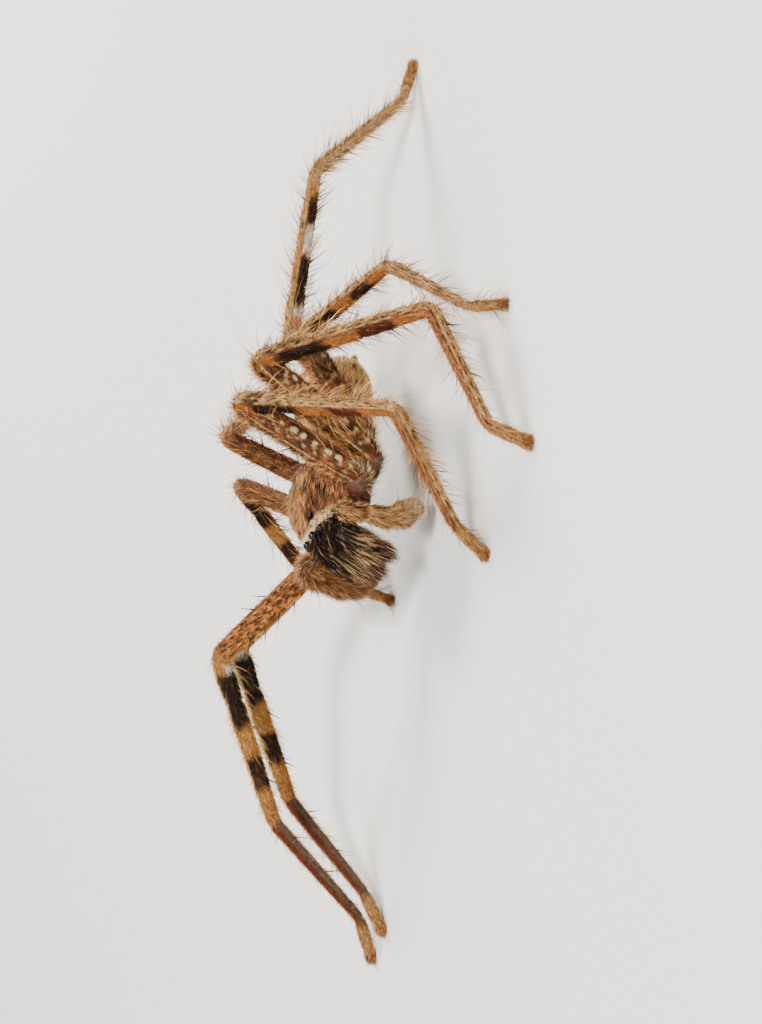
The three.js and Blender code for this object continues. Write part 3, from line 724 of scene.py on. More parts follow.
legMarks = {  # rows in degrees from the upper side towards the front side
    "spots": [(170, 1.3, 0.31, 12), (147, 1.5, 0.2, 8), (127, 1.6, 0.23, 8)],
    "dashes": [(88, 1.2, 0.36, 6), (64, 1.0, 0.38, 6.5), (40, 1.1, 0.38, 6.5), (14, 1.0, 0.38, 6.5),
               (-14, 1.1, 0.36, 6)],
    "flecks": [(154, 1.1, 0.36, 7), (134, 0.9, 0.32, 7), (113, 1.2, 0.4, 7), (93, 0.95, 0.32, 7),
               (72, 1.15, 0.38, 7), (51, 0.95, 0.34, 7), (30, 1.1, 0.36, 7), (8, 1.1, 0.36, 7)],
    "lines": (84, 203),
    "creamDashes": [(-20, 1.5, 0.45, 8), (3, 1.4, 0.45, 7), (25, 1.55, 0.45, 8), (47, 1.4, 0.4, 7)],
    "darkDashes": [(-32, 1.5, 0.26, 6), (-9, 1.45, 0.28, 6), (14, 1.55, 0.28, 6), (36, 1.4, 0.28, 6),
                   (57, 1.5, 0.26, 6)],
    "shinDashes": [(34, 1.5, 0.6, 6), (-6, 1.6, 0.5, 6), (-40, 1.6, 0.45, 6), (66, 2.2, 0.5, 5)],
    "bandStart": {1: 62, 2: 64, 3: 84, 4: 92},
    "bands": [(0.07, 0.12, 0.37, 0.43), (0.57, 0.62, 0.76, 0.81)],
    "bandShift": {("right", 2): -0.05, ("left", 4): 0.04},
    "marked": {1: 1.0, 2: 1.0, 3: 0.7, 4: 0.4},
}


# plain behind, dashed above, dark with pale spots in front and below; a right leg is orange with flecks
def femurColours(share, along, degrees, noise, fine, side, number, seed):
    marked, orangeLeg = legMarks["marked"][number], side == "right" and number < 3
    # a right leg's plain colours are darker than a left leg's: painted shade on the right legs
    deep, light = ((112, 74, 44), (158, 112, 70)) if side == "left" else ((84, 48, 24), (122, 76, 42))
    plain = mixed(deep, light, smooth(noise + 0.4 * fine, 0.3, 1.0))
    worn = smooth(noise + 0.5 * fine, 0.4, 1.1)
    dashed = layered(mixed((160, 106, 56), (206, 154, 94), worn),
                     (darkBrown, marked * rowMarks(along, degrees, legMarks["dashes"], seed + 2)))
    spots = rowMarks(along + 0.25 * fine, degrees + 9 * noise, legMarks["spots"], seed + 3)
    if orangeLeg:
        light = flecks(along + 0.3, np.radians(degrees) * 1.2, 0.75, 0.16, seed + 11, 1.8)
        dark = rowMarks(along + 0.5 * fine, degrees + 16 * noise, legMarks["flecks"], seed + 3)
        spotted = layered(mixed((156, 94, 44), (204, 138, 70), worn), ((240, 190, 116), 0.7 * light),
                          ((66, 34, 20), 0.95 * dark))
        spots, inFront = 0.25 * spots, nearRow(degrees, 105, 130, 115)
    else:
        wide = [(row, period, half * 1.7, width * 1.7) for row, period, half, width in legMarks["spots"]]
        spotted = layered(mixed((98, 56, 30), (164, 106, 60), worn),
                          (darkBrown, 0.8 * rowMarks(along, degrees, wide, seed + 3)))
        inFront = nearRow(degrees, 160, 75, 60)
    spots = spots * smooth(share, 0.04, 0.08) * before(share, 0.8, 0.92) * inFront * marked
    femur = layered(plain, (dashed, nearRow(degrees, 35, 72, 60) * marked),
                    (spotted, inFront * (0.4 + 0.6 * marked)),
                    (mixed((246, 226, 178), paleYellow, 0.6 * fine),
                     spots * (0.55 + 0.45 * smooth(degrees % 360, 145, 155))))
    for row in legMarks["lines"]:
        off = (degrees - row + 180) % 360 - 180
        drawn = marked * (side == "left" or row > 180)
        dash = smooth(mottle(along * 1.7, 0 * along + row, seed + 4), 0.25, 0.4)
        femur = layered(femur, (cream, drawn * 0.8 * before(abs(off - 8), 3, 5) * smooth(fine, 0.15, 0.4)),
                        (black, drawn * before(abs(off), 3, 5) * dash))
    return mixed(femur, tan, smooth(share, 0.9, 0.99) * 0.6), spots, inFront


# patella and tibia: dark and pale bands in front and below, a cream ridge with rows of dashes above
def tibiaColours(share, along, degrees, noise, fine, side, number, seed):
    around, positive = np.radians(degrees) * 1.2, degrees % 360
    wobble = share + 0.06 * (noise - 0.5) - legMarks["bandShift"].get((side, number), 0)
    dark = [smooth(wobble, a, b) - smooth(wobble, c, d) for a, b, c, d in legMarks["bands"]]
    yellow = mixed((214, 164, 92), (198, 150, 84), noise) if side == "right" else mixed(orange, gold, noise)
    last = mixed((204, 132, 70), tan, fine) if number < 4 else (236, 206, 150)
    kneePatch = {("right", 1): smooth(positive, 112, 128), ("right", 2): 1.0,
                 ("left", 4): 1.0}.get((side, number), 0.0)
    patch = smooth(mottle(along * 1.3, around * 3.5, seed + 9), 0.55, 0.85)
    second = mixed(black, (76, 40, 26), 0.3 + 0.6 * fine)
    if side == "left" and number < 3:
        second = mixed(second, (124, 66, 38), 0.5 + 0.3 * noise)
    banded = layered(
        yellow, (white if number == 4 else yellow, smooth(wobble, 0.4, 0.44) * before(wobble, 0.58, 0.62)),
        (last, 0.75 * smooth(wobble, 0.78, 0.9)),
        (white, kneePatch * before(wobble, 0.1, 0.16) * smooth(wobble, 0.02, 0.06)),
        (mixed(mixed(black, darkBrown, 0.7 * fine), brown, 0.3 * patch), dark[0]),
        (second, dark[1] * (1 - 0.2 * patch)))
    start = legMarks["bandStart"][number]
    blotch = (smooth(mottle(along * 1.1, around * 2.2, seed + 10), 0.45, 0.7) * before(share, 0.24, 0.34)
              * smooth(share, 0.02, 0.08))
    ridge = layered(mixed((242, 202, 140), (212, 156, 92), noise),
                    (cream, 0.95 * rowMarks(along, degrees, legMarks["creamDashes"], seed + 5)),
                    (darkBrown, 0.95 * rowMarks(along, degrees, legMarks["darkDashes"], seed + 6)),
                    (darkBrown, 0.75 * blotch * (number < 3)))
    return layered((168, 118, 72), (brown, 0.6 * smooth(noise, 0.4, 0.8)),
                   (banded, smooth(positive, start - 5, start + 6) * before(positive, 205, 222)),
                   (ridge, nearRow(degrees, start / 2 - 32, 32 + start / 2, 22 + start / 2)))


def shinColours(along, degrees, noise, fine, side, number, seed):
    off = rowOff(degrees, 60)
    # the lower side: red-brown, then a grey band that is painted sheen and a pale underside that is painted
    # glow
    lower = layered((116, 58, 36), ((142, 80, 50), fine), ((132, 112, 96), smooth(off, 50, 64)),
                    (cream, 0.6 * smooth(off, 112, 128)))
    return layered((242, 206, 152), ((214, 164, 104), smooth(noise, 0.2, 0.8)),
                   (mixed((200, 142, 100), (214, 150, 96), fine), 0.9 * nearRow(degrees, 92, 62, 54)),
                   ((246, 216, 166), {3: 0.5, 4: 0.65}.get(number, 0)),
                   (darkBrown, 0.9 * rowMarks(along, degrees, legMarks["shinDashes"], seed + 7)),
                   (lower, nearRow(degrees, 130, 78, 66) * (0.95 if number < 3 and side == "right"
                                                            else 0.25)))


# turn is 0 on a leg's upper side and grows towards its front side
def legColours(segment, share, along, turn, side, number):
    degrees = (np.degrees(turn) + 180) % 360 - 180
    seed = number * 7 + (3 if side == "left" else 5)
    around = np.radians(degrees) * 1.2
    noise = mottle(along * 1.6, around * 1.6, seed)
    fine = mottle(along * 4.5, around * 4.5, seed + 1)
    kind = noise, fine, side, number, seed
    femur, spots, inFront = femurColours(share, along, degrees, *kind)
    shin = shinColours(along, degrees, *kind)
    tarsus = layered(mixed(tan, gold, noise), (cream, 0.35 * fine),
                     (darkBrown, 0.6 * rowMarks(along, degrees, legMarks["shinDashes"], seed + 8)),
                     ((168, 118, 84), 0.5 * smooth(share, 0.8, 0.95)))
    # the coxa's dark red-brown is partly its own colour and partly painted shade under the body
    coxa = layered((92, 50, 34), ((128, 74, 48), noise),
                   (cream, 0.5 * flecks(along, around, 0.8, 0.16, seed + 6) * before(share, 0.45, 0.55)),
                   (mixed((110, 80, 64), (142, 108, 86), fine), smooth(share, 0.64, 0.68)),
                   ((184, 136, 104), 0.7 * before(abs(share - 0.665), 0.006, 0.012)),
                   ((168, 116, 86), 0.6 * smooth(share, 0.96, 0.99)))
    looks = (coxa, femur, tibiaColours(share, along, degrees, *kind), shin,
             mixed(shin, tarsus, smooth(share, 0.0, 0.3)))
    chosen = np.zeros(segment.shape + (3,))
    for k, look in enumerate(looks):
        chosen[segment == k] = look[segment == k]
    return chosen, spots * (segment == 1), inFront * (segment == 1)


surfaceDefaults = {
    "tint": brown, "secondTint": darkBrown, "bristleTint": colour(150, 104, 62), "lie": (1, 0, 0),
    "secondShare": 0.2, "coatLength": 0.8, "coatDensity": 1.0, "fringeDensity": 0.0,
    "bristleDensity": 0.0, "bristleLength": 1.6, "shade": 0.62, "gloss": 0.0,
}


def filled(full, **given):  # every value that a surface carries, spread over all its places
    return {name: np.broadcast_to(np.asarray(given.get(name, usual), float),
                                  full + (3,) if np.size(usual) == 3 else full)
            for name, usual in surfaceDefaults.items()}


def otherTint(tint):  # darker hairs among pale ones, tan hairs among dark ones
    return layered(tint, (darkBrown, 0.6), ((160, 108, 64), before(tint[..., 0], 0.06, 0.16)))


def legSurface(side, number, step, around):
    joints = legJoints(side, number)
    places, segments, shares, ways, lengths = legPath(joints, step)
    radii, reached = legRadii(segments, shares, legSizes[number]["stout"], lengths)
    paths = unit(np.gradient(places, axis=0))
    knee = int(np.argmin(np.linalg.norm(places - joints[2], axis=1)))
    backs = carried(paths, knee, unit(ways[1] - ways[2]))
    count = len(places)
    places, paths, backs, radii = domed(places, paths, backs, radii)
    grow = (len(places) - count) // 2
    segments, shares, reached = (np.pad(values, grow, mode="edge")
                                 for values in (segments, shares, reached))
    rings, spokes, turn = tubeRings(places, paths, backs, radii, around)
    full = rings.shape[:2]
    # turn runs from the upper side, first to the front on a left leg and to the rear on a right one
    frontTurn = np.broadcast_to((turn * sideSign[side])[None], full)

    def grid(values):
        return np.broadcast_to(values[:, None], full)

    def ofSegment(key):
        return np.array(legForm[key])[segments]

    tint, spots, inFront = legColours(grid(segments), grid(shares), grid(reached), frontTurn, side, number)
    left, frontRight = side == "left", side == "right" and number < 3
    degrees = np.degrees(frontTurn) % 360
    knob = smooth(shares, 0.62, 0.68) * (segments == 0)
    tuft = smooth(shares, 0.72, 0.95) * (segments == 4)
    brush = 1.0 * (segments == 3) * (number == 4)
    bare = grid(before(abs(reached - 7.2), 0.5, 1.5))
    flank = (0.7 * nearRow(degrees, 100, 52, 32) if left else nearRow(degrees, 109, 68, 50))
    flank = flank * grid(segments > 1)
    hipHair = grid(before(reached, 6.6, 8.2) * smooth(reached, 1.0, 2.5)) * nearRow(degrees, 195, 62, 40)
    overFemur = grid(segments == 1) * nearRow(degrees, 0, 75, 50) * left
    fringe = grid(ofSegment("fringe")) * (1 - 0.5 * inFront) * (1 - flank) * (1 - bare)
    fringe = (fringe * (1.8 if frontRight else 1.0) + 2.0 * hipHair
              + (2.5 if number < 3 else 0.5) * overFemur)
    onDark = before(tint[..., 0], 0.05, 0.12)
    long = mixed(tint, (238, 200, 134) if frontRight else (206, 160, 108),
                 0.75 - (0.55 if left else 0.1) * onDark)
    length = grid(ofSegment("coatLength") * (1 + 0.5 * tuft + 0.4 * brush))
    reach = grid(np.interp(reached, *zip(*legForm["bristleReach"]))) * (0.6 if frontRight else 1.0)
    values = filled(
        full, tint=tint, secondTint=otherTint(tint), secondShare=0.2 * (1 - spots) * (1 - 0.6 * onDark),
        bristleTint=mixed(long, cream, 0.8 * hipHair), bristleLength=reach,
        lie=paths[:, None] + spokes * (grid(0.38 * tuft + 0.35 * brush) + 0.7 * overFemur)[..., None],
        gloss=0.25 * grid(knob), shade=0.5 + (0.15 if left else 0.3) * inFront,
        coatLength=length * (1 - (0.2 if left else 0.3) * inFront) * (1 - 0.3 * spots)
        * (1 + 0.8 * overFemur),
        coatDensity=grid(ofSegment("coatDensity") * (1 - 0.9 * knob) * (1 + 0.6 * tuft))
        * (1 + 0.6 * spots),
        fringeDensity=fringe + 1.2 * grid(brush),
        bristleDensity=grid(ofSegment("bristles") * smooth(reached, 4, 9)) * (1 - 0.5 * inFront)
        * (1 - 0.8 * flank))
    return shell(rings, values, places[0] - paths[0] * radii[0] * 0.05,
                 places[-1] + paths[-1] * radii[-1] * 0.05)


carapace = {
    "front": 6.2, "back": -6.2, "halfWidth": 5.6, "faceHalfWidth": 2.6, "cheek": 3, "rim": -0.3,
    "underside": 0.45, "crown": 4.7, "faceHeight": 1.2, "coatDepth": 0.26, "rings": 90, "around": 96,
}
sternum = {  # height and share of the width of each ring
    "front": 3.3, "back": -4.9, "halfWidth": 3.0, "around": 64, "ends": (-2.61, 0.7),
    "rings": ((-2.6, 0.3), (-2.56, 0.6), (-2.42, 0.85), (-2.15, 0.98), (-1.6, 1.0), (0.6, 1.0)),
}
abdomen = {
    "centre": (-12.0, -0.5, 0.3), "half": (6.0, 4.9, 4.2), "tilt": 0.5, "taper": 0.1, "coatDepth": 0.4,
    "rings": 70, "around": 84,
}
waist = {"path": [(-8, -0.2, -0.7), (-5.6, 0, -0.9)], "radius": 0.8, "coatLength": 0.5}
forward = turned((1, 0, 0))
# the pale band between the eye rows runs this far ahead in the middle and curves back to the sides
faceBand = {"ahead": 4.95, "curve": 0.14, "half": 0.4, "low": 0.75, "eyeRim": 0.2, "sideRim": 0.4}
pit = {"place": -2.0, "width": 0.22, "length": 0.9, "grooves": (38, 75, 110, 145), "spread": 6}


def carapaceOutline(ahead):
    share = (ahead - carapace["back"]) / (carapace["front"] - carapace["back"])
    bulge = np.sin(np.pi * np.minimum(1, share / 0.92) ** 0.9)
    head = smooth(share, 0.45, 1)
    face = carapace["faceHalfWidth"] + carapace["cheek"] * (1 - share)
    width = carapace["halfWidth"] * np.maximum(bulge, 0) ** 0.55 * (1 - head) + head * face
    rise = np.maximum(np.sin(np.pi * np.minimum(1, share / 1.08) ** 0.95) ** 0.6, 0)
    crown = carapace["rim"] + (carapace["crown"] - carapace["rim"]) * rise * (1 - 0.06 * head)
    return np.maximum(width, 0.6), np.maximum(crown, 0.4)


def carapaceSurface():
    rings, around, depth = carapace["rings"], carapace["around"], carapace["coatDepth"]
    ease = 0.5 - 0.5 * np.cos(np.pi * np.linspace(0.01, 1, rings))
    run = (carapace["back"] + (carapace["front"] - carapace["back"]) * ease)[:, None]
    turn = (2 * np.pi * (np.arange(around) + 0.5) / around)[None]
    width, crown = (size - depth for size in carapaceOutline(run))
    rise = np.sin(turn)
    height = np.where(rise > 0, (crown - carapace["rim"]) * np.maximum(rise, 0) ** 0.9,
                      carapace["underside"] * rise)
    across = width * np.cos(turn)
    # a long pit behind the middle, shallow grooves running out from it, and the raised head between them
    top, behind = smooth(rise, 0.1, 0.5), run - pit["place"]
    hollow = np.exp(-((across / pit["width"]) ** 2) - (behind / pit["length"]) ** 2)
    spread = np.degrees(np.arctan2(abs(across), behind))
    out = np.hypot(across, behind)
    grooves = sum(np.exp(-(((spread - way) / pit["spread"]) ** 2)) for way in pit["grooves"])
    grooves = grooves * smooth(out, 0.6, 1.6) * before(out, 3.5, 5.2)
    up = carapace["rim"] + height - top * (0.4 * hollow + 0.16 * grooves)
    points = np.stack(np.broadcast_arrays(run, across, up), -1)
    along, high = points[..., 0], points[..., 2]
    seed = 41
    streak = mottle(along * 0.7 + 0.5 * across, across * 2.6, seed)
    tint = layered(
        mixed(pink, (174, 120, 86), streak),
        (mixed((170, 116, 68), (190, 142, 92), streak), smooth(high, 2.4, 3.9)),
        (brown, 0.55 * smooth(mottle(along * 0.8, across * 3.2, seed + 1), 0.4, 0.9)),
        (darkBrown, 0.9 * flecks(along, across, 0.8, 0.24, seed + 2, 1.7)),
        ((96, 56, 36), 0.8 * flecks(along + 0.4, across + 0.3, 1.1, 0.32, seed + 8, 1.9)),
        (darkBrown, top * np.clip(0.8 * hollow + 0.45 * grooves, 0, 0.9)))
    ahead = along - faceBand["ahead"] + faceBand["curve"] * across ** 2
    low, half = faceBand["low"], faceBand["half"]
    band = before(abs(ahead), half - 0.1, half + 0.06) * smooth(high, low - 0.25, low + 0.15)
    clypeus = smooth(along, 5.7, 5.95) * smooth(high, -0.4, 0.2)
    nearEye = np.zeros(along.shape)
    for name, eye in eyes.items():
        rim = faceBand["sideRim"] if name == "rear_side" else faceBand["eyeRim"]
        for sign in (1, -1):
            gap = np.linalg.norm(points - np.multiply(eye["place"], (1, sign, 1)), axis=-1) - eye["radius"]
            nearEye = np.maximum(nearEye, before(gap, rim - 0.04, rim + 0.12))
    face = smooth(ahead, half - 0.05, half + 0.08)
    cheek = smooth(ahead, -0.1, 0.2) * before(high, low - 0.1, low + 0.2)
    mask = np.clip(face + cheek + nearEye, 0, 1)
    pale = mixed((255, 226, 172), white, 0.8 * mottle(along * 3, across * 3, seed + 4))
    tint = layered(tint, (pale, 0.97 * band * (1 - mask)),
                   (mixed(black, darkBrown, 0.8 * mottle(along * 2, high * 2, seed + 5)), mask))
    # hair lies forward in waves, outwards along the band between the eyes, and down over the jaws
    wave = (mottle(along * 0.8, across * 1.1, seed + 6) - 0.5) * 1.1 * (1 - band)
    outwards = np.clip(across / 0.5, -1, 1) * band
    jawWay = unit(np.subtract(chelicera["tip"], chelicera["top"]))
    lie = np.stack([1 - 0.7 * band, wave + outwards, 0 * along], -1)
    lie = unit(turned(lie * (1 - clypeus[..., None]) + jawWay * clypeus[..., None]))
    above = smooth(rise + 0 * along, -0.3, 0.0)
    values = filled(
        along.shape, tint=tint, secondTint=layered(tint, (cream, 0.3 + 0.1 * mask), (brown, 0.6 * band)),
        secondShare=0.3 - 0.25 * mask - 0.14 * band, lie=lie, shade=0.55 + 0.7 * band,
        bristleTint=mixed(tint, cream, 0.5 + 0.1 * mask),
        coatLength=1.35 - 0.35 * band + 0.2 * clypeus - 0.9 * nearEye,
        coatDensity=(1 - 0.5 * nearEye) * (1 + 0.4 * band) * above,
        fringeDensity=0.8 * before(abs(rise) + 0 * along, 0.1, 0.3) + 0.05 * clypeus,
        bristleDensity=0.35 * smooth(rise + 0 * along, 0.0, 0.3) * (1 - nearEye))
    return shell(inBody(points), values, inBody((carapace["back"] + 0.15, 0, 0)),
                 inBody((carapace["front"] - 0.1, 0, carapace["faceHeight"])))


def bodyFill():  # sternum and the soft sides over it
    turn = 2 * np.pi * np.arange(sternum["around"]) / sternum["around"]
    middle = (sternum["front"] + sternum["back"]) / 2
    half = (sternum["front"] - sternum["back"]) / 2
    points = np.array([np.stack([middle + half * share * np.cos(turn),
                                 sternum["halfWidth"] * share * np.sin(turn), 0 * turn + height], -1)
                       for height, share in sternum["rings"]])
    tint = mixed(brown, darkBrown, mottle(points[..., 0] * 2, points[..., 1] * 2, 77))
    values = filled(points.shape[:2], tint=tint, secondTint=tint, lie=-forward, coatDensity=0.5,
                    bristleDensity=0.2, bristleLength=1.2)
    return shell(inBody(points), values, *(inBody((middle, 0, end)) for end in sternum["ends"]))


def abdomenSurface():
    centre, half = np.array(abdomen["centre"]), np.array(abdomen["half"]) - abdomen["coatDepth"]
    polar = np.pi * (np.arange(abdomen["rings"]) + 0.5) / abdomen["rings"]
    along, girth = np.cos(polar)[:, None], (np.sin(polar) ** 0.86)[:, None]
    turn = (2 * np.pi * np.arange(abdomen["around"]) / abdomen["around"])[None]
    full = 1 - abdomen["taper"] * along
    points = np.stack(np.broadcast_arrays(
        centre[0] + half[0] * along, centre[1] + half[1] * girth * full * np.cos(turn),
        centre[2] + abdomen["tilt"] * along + half[2] * girth * np.sin(turn)), -1)
    seed = 55
    ahead, across, high = points[..., 0], points[..., 1] - centre[1], points[..., 2]
    wrap = turn * 4.2 + 0 * ahead
    heart = before(abs(across), 0.45, 0.75) * smooth(high, 1.5, 3) * smooth(ahead, -13, -11.5)
    tint = layered(mixed((232, 188, 132), (248, 212, 158), mottle(ahead * 0.7, wrap * 0.7, seed)),
                   (brown, 0.2 * mottle(ahead * 1.8, wrap * 1.8, seed + 1)),
                   (darkBrown, 0.95 * flecks(ahead, wrap, 0.8, 0.2, seed + 2, 2.4)
                    * smooth(high, -2.5, -0.5)), (darkBrown, 0.6 * heart))
    values = filled(ahead.shape, tint=tint, secondTint=mixed(tint, darkBrown, 0.5), secondShare=0.05,
                    lie=-forward, coatLength=0.5, bristleTint=darkBrown, bristleLength=0.8,
                    fringeDensity=0.9, bristleDensity=0.4, shade=0.8)
    ends = [inBody(centre + (end * half[0], 0, abdomen["tilt"] * end)) for end in (1, -1)]
    stalk = simpleTube(inBody(waist["path"]), 12, waist["radius"], 24, (0, 0, 1), lie=-forward,
                       coatLength=waist["coatLength"], coatDensity=0.3)
    return joined([shell(inBody(points), values, *ends), stalk])


# a tube through the points; radii and a tint may be functions of the shares, or of rings and turn
def simpleTube(points, count, radii, around, back, lean=0.0, **given):
    places, shares = curveThrough(points, count)
    radii = radii(shares) if callable(radii) else np.full(count, radii)
    ways = unit(np.gradient(places, axis=0))
    backs = carried(ways, 0, np.asarray(back, float))
    places, ways, backs, radii = domed(places, ways, backs, radii)
    rings, spokes, turn = tubeRings(places, ways, backs, radii, around)
    if callable(given.get("tint")):
        given["tint"] = given["tint"](rings, turn)
    given.setdefault("lie", ways[:, None] + lean * spokes)
    return shell(rings, filled(rings.shape[:2], **given), places[0] - ways[0] * radii[0] * 0.1,
                 places[-1] + ways[-1] * radii[-1] * 0.1)


chelicera = {
    "top": (5.1, 1.55, 0.2), "tip": (6.55, 1.5, -4.3), "bulge": (0.55, 0.05, 0), "fullest": 0.45,
    "radius": 1.34, "coatDepth": 0.16, "outline": [(0, 0.9), (0.35, 1.0), (0.75, 0.9), (1, 0.72)],
    "goal": 0.7, "wave": 0.8, "lean": {"left": 0.0, "right": 0.22}, "halfGap": 0.12,
}
fang = {"points": [(0.25, 0.35, -0.75), (0.1, -0.35, -1.25), (-0.35, -1.08, -1.15)], "sunk": 0.9,
        "outline": [(0, 0.15), (0.3, 0.42), (0.65, 0.32), (1, 0.1)]}
palps = {
    "left": [(3.2, 2.9, -1.7), (4.9, 4.4, 0.1), (4.8, 4.5, -2.0), (4.6, 4.4, -4.9), (2.8, 4.2, -7.0)],
    "right": [(3.4, -2.9, -1.6), (6.3, -4.2, 1.0), (7.5, -4.1, -0.6), (7.7, -4.0, -2.9), (6.2, -3.9, -5.0)],
}
palpForm = {"radii": {"left": (0.8, 0.98, 1.05, 1.2, 1.6), "right": (1.05, 1.3, 1.15, 1.15, 1.5)},
            "coatDepth": 0.2, "grooves": (0.1, 0.24, 0.12), "grooveWidth": 0.26,
            "long": {"left": 0.75, "right": 1.25}, "lean": {"left": 0.0, "right": 0.3},
            "strands": {"left": 0.42, "right": 0.16}}
spinnerets = {"place": (-17.6, -0.5, -1.1), "radii": (0.42, 0.22),
              "cones": [(0.3, -0.35, 1.5), (-0.3, -0.35, 1.5), (0.28, 0.3, 1.2), (-0.28, 0.3, 1.2)]}


def cheliceraSurface(side):
    mirror = np.array((1, sideSign[side], 1))
    top, tip = np.array(chelicera["top"]), np.array(chelicera["tip"])
    middle = top + (tip - top) * chelicera["fullest"] + chelicera["bulge"]

    def thick(shares):
        return np.interp(shares, *zip(*chelicera["outline"])) * chelicera["radius"] - chelicera["coatDepth"]

    part = simpleTube(inBody(np.array([top, middle, tip]) * mirror), 40, thick, 48, forward, shade=0.5)
    local = fromBody(part["points"])
    inner = chelicera["halfGap"]
    local[:, 1] = np.where(local[:, 1] * sideSign[side] < inner, inner * sideSign[side], local[:, 1])
    points = part["points"] = inBody(local)
    # brown, cream and black hairs grow side by side and come together over the fang
    reached = np.clip((top[2] - local[:, 2]) / (top[2] - tip[2]), 0, 1)
    streak = mottle(local[:, 1] * 2.2, local[:, 0] * 2.2 + reached, 93)
    part["tint"] = layered(
        (96, 68, 50), (black, np.clip(smooth(streak, 0.25, 0.45) + before(reached, 0.16, 0.34), 0, 1)),
        ((74, 40, 26), 0.6 * smooth(reached, 0.7, 0.95)))
    part["secondTint"] = np.broadcast_to(colour(224, 188, 146), part["tint"].shape)
    part["secondShare"] = (0.24 - 0.12 * before(reached, 0.14, 0.3)
                           - 0.12 * smooth(reached, 0.75, 1.0))[:, None]
    goal = inBody((tip + (tip - top) * chelicera["goal"]) * mirror)
    outwards = points - inBody((top + (tip - top) * reached[:, None]) * mirror)
    sideways = turned((0, 1, 0)) * (mottle(local[:, 2] * 1.1, local[:, 1] * 1.6, 95) - 0.5)[:, None]
    part["lie"] = (unit(goal - points) + unit(outwards) * chelicera["lean"][side]
                   + sideways * chelicera["wave"])
    part["coatLength"] = (2.4 - 0.7 * reached)[:, None]
    return part


def fangSurface(side):
    points = inBody((np.array(chelicera["tip"]) + fang["points"]) * (1, sideSign[side], 1))
    root = points[0] - unit(points[1] - points[0]) * fang["sunk"]
    return simpleTube([root, *points], 24, lambda shares: np.interp(shares, *zip(*fang["outline"])), 20,
                      forward, tint=black)


def palpSurface(side):
    joints, left = inBody(palps[side]), side == "left"
    lengths = np.linalg.norm(np.diff(joints, axis=0), axis=1)
    whole = lengths.sum()
    reached = np.concatenate([[0], np.cumsum(lengths)]) / whole
    knots = [*reached[:4], reached[3] + (1 - reached[3]) * 0.45, 1]
    *sizes, last = palpForm["radii"][side]
    seed = 91

    def thick(shares):
        radii = np.interp(shares, knots, [*sizes, last * 0.96, last * 0.8]) - palpForm["coatDepth"]
        for knot, deep in zip(knots[1:4], palpForm["grooves"]):
            radii -= deep * np.exp(-(((shares - knot) * whole / palpForm["grooveWidth"]) ** 2))
        return radii

    def tintOf(rings, turn):
        count = rings.shape[0]
        share = np.clip((np.arange(count) - 4) / (count - 9), 0, 1)[:, None] + 0 * turn[None]
        along, around = share * whole, turn[None] * 1.2 + 0 * share
        # a dark layer over the right palp only: painted shade on that palp, which has the left one's
        # colours
        shadedPalp = mixed((132, 88, 58), darkBrown, mottle(along * 1.2, around * 3, seed + 2))
        return layered(
            mixed((240, 202, 152), (206, 150, 94), mottle(along * 1.5, around * 1.5, seed)),
            (darkBrown, 0.8 * flecks(along, around, 0.7, 0.17, seed + 1, 2.6) * before(share, 0.7, 0.85)),
            (shadedPalp, 0 if left else 0.85),
            (mixed(cream, grey, 0.35), (0.8 if left else 0.2) * smooth(share, 0.74, 0.9)))

    atEnd = smooth(np.pad(np.linspace(0, 1, 90), 4, mode="edge"), 0.78, 0.92)[:, None]
    long = palpForm["long"][side]
    return simpleTube(joints, 90, thick, 40, turned((0, 0, 1)), lean=palpForm["lean"][side], tint=tintOf,
                      secondTint=darkBrown if left else colour(206, 164, 116),
                      coatLength=long - (long - 0.4) * atEnd, bristleDensity=0.6,
                      secondShare=palpForm["strands"][side] * (1 - 0.7 * atEnd),
                      fringeDensity=(1.2 - 1.0 * atEnd) * long,
                      bristleTint=colour(226, 178, 118) if left else colour(178, 138, 96))


def spinneretSurface():
    place = np.array(spinnerets["place"])
    return joined([simpleTube(
        inBody([place + (0.2, across, above), place + (-length, across * 2.1, above * 1.5)]), 12,
        lambda shares: np.interp(shares, [0, 1], spinnerets["radii"]), 20, (0, 0, 1), tint=tan,
        coatLength=0.6, coatDensity=1.2) for across, above, length in spinnerets["cones"]])


def ball(place, radius, steps=20):
    polar = (np.pi * (np.arange(steps) + 0.5) / steps)[:, None]
    turn = 2 * np.pi * np.arange(2 * steps) / (2 * steps)
    points = np.stack([np.sin(polar) * np.cos(turn), np.sin(polar) * np.sin(turn),
                       np.cos(polar) + 0 * turn], -1)
    return shell(place + points * radius, filled(points.shape[:2], tint=black), place + (0, 0, radius),
                 place - (0, 0, radius))


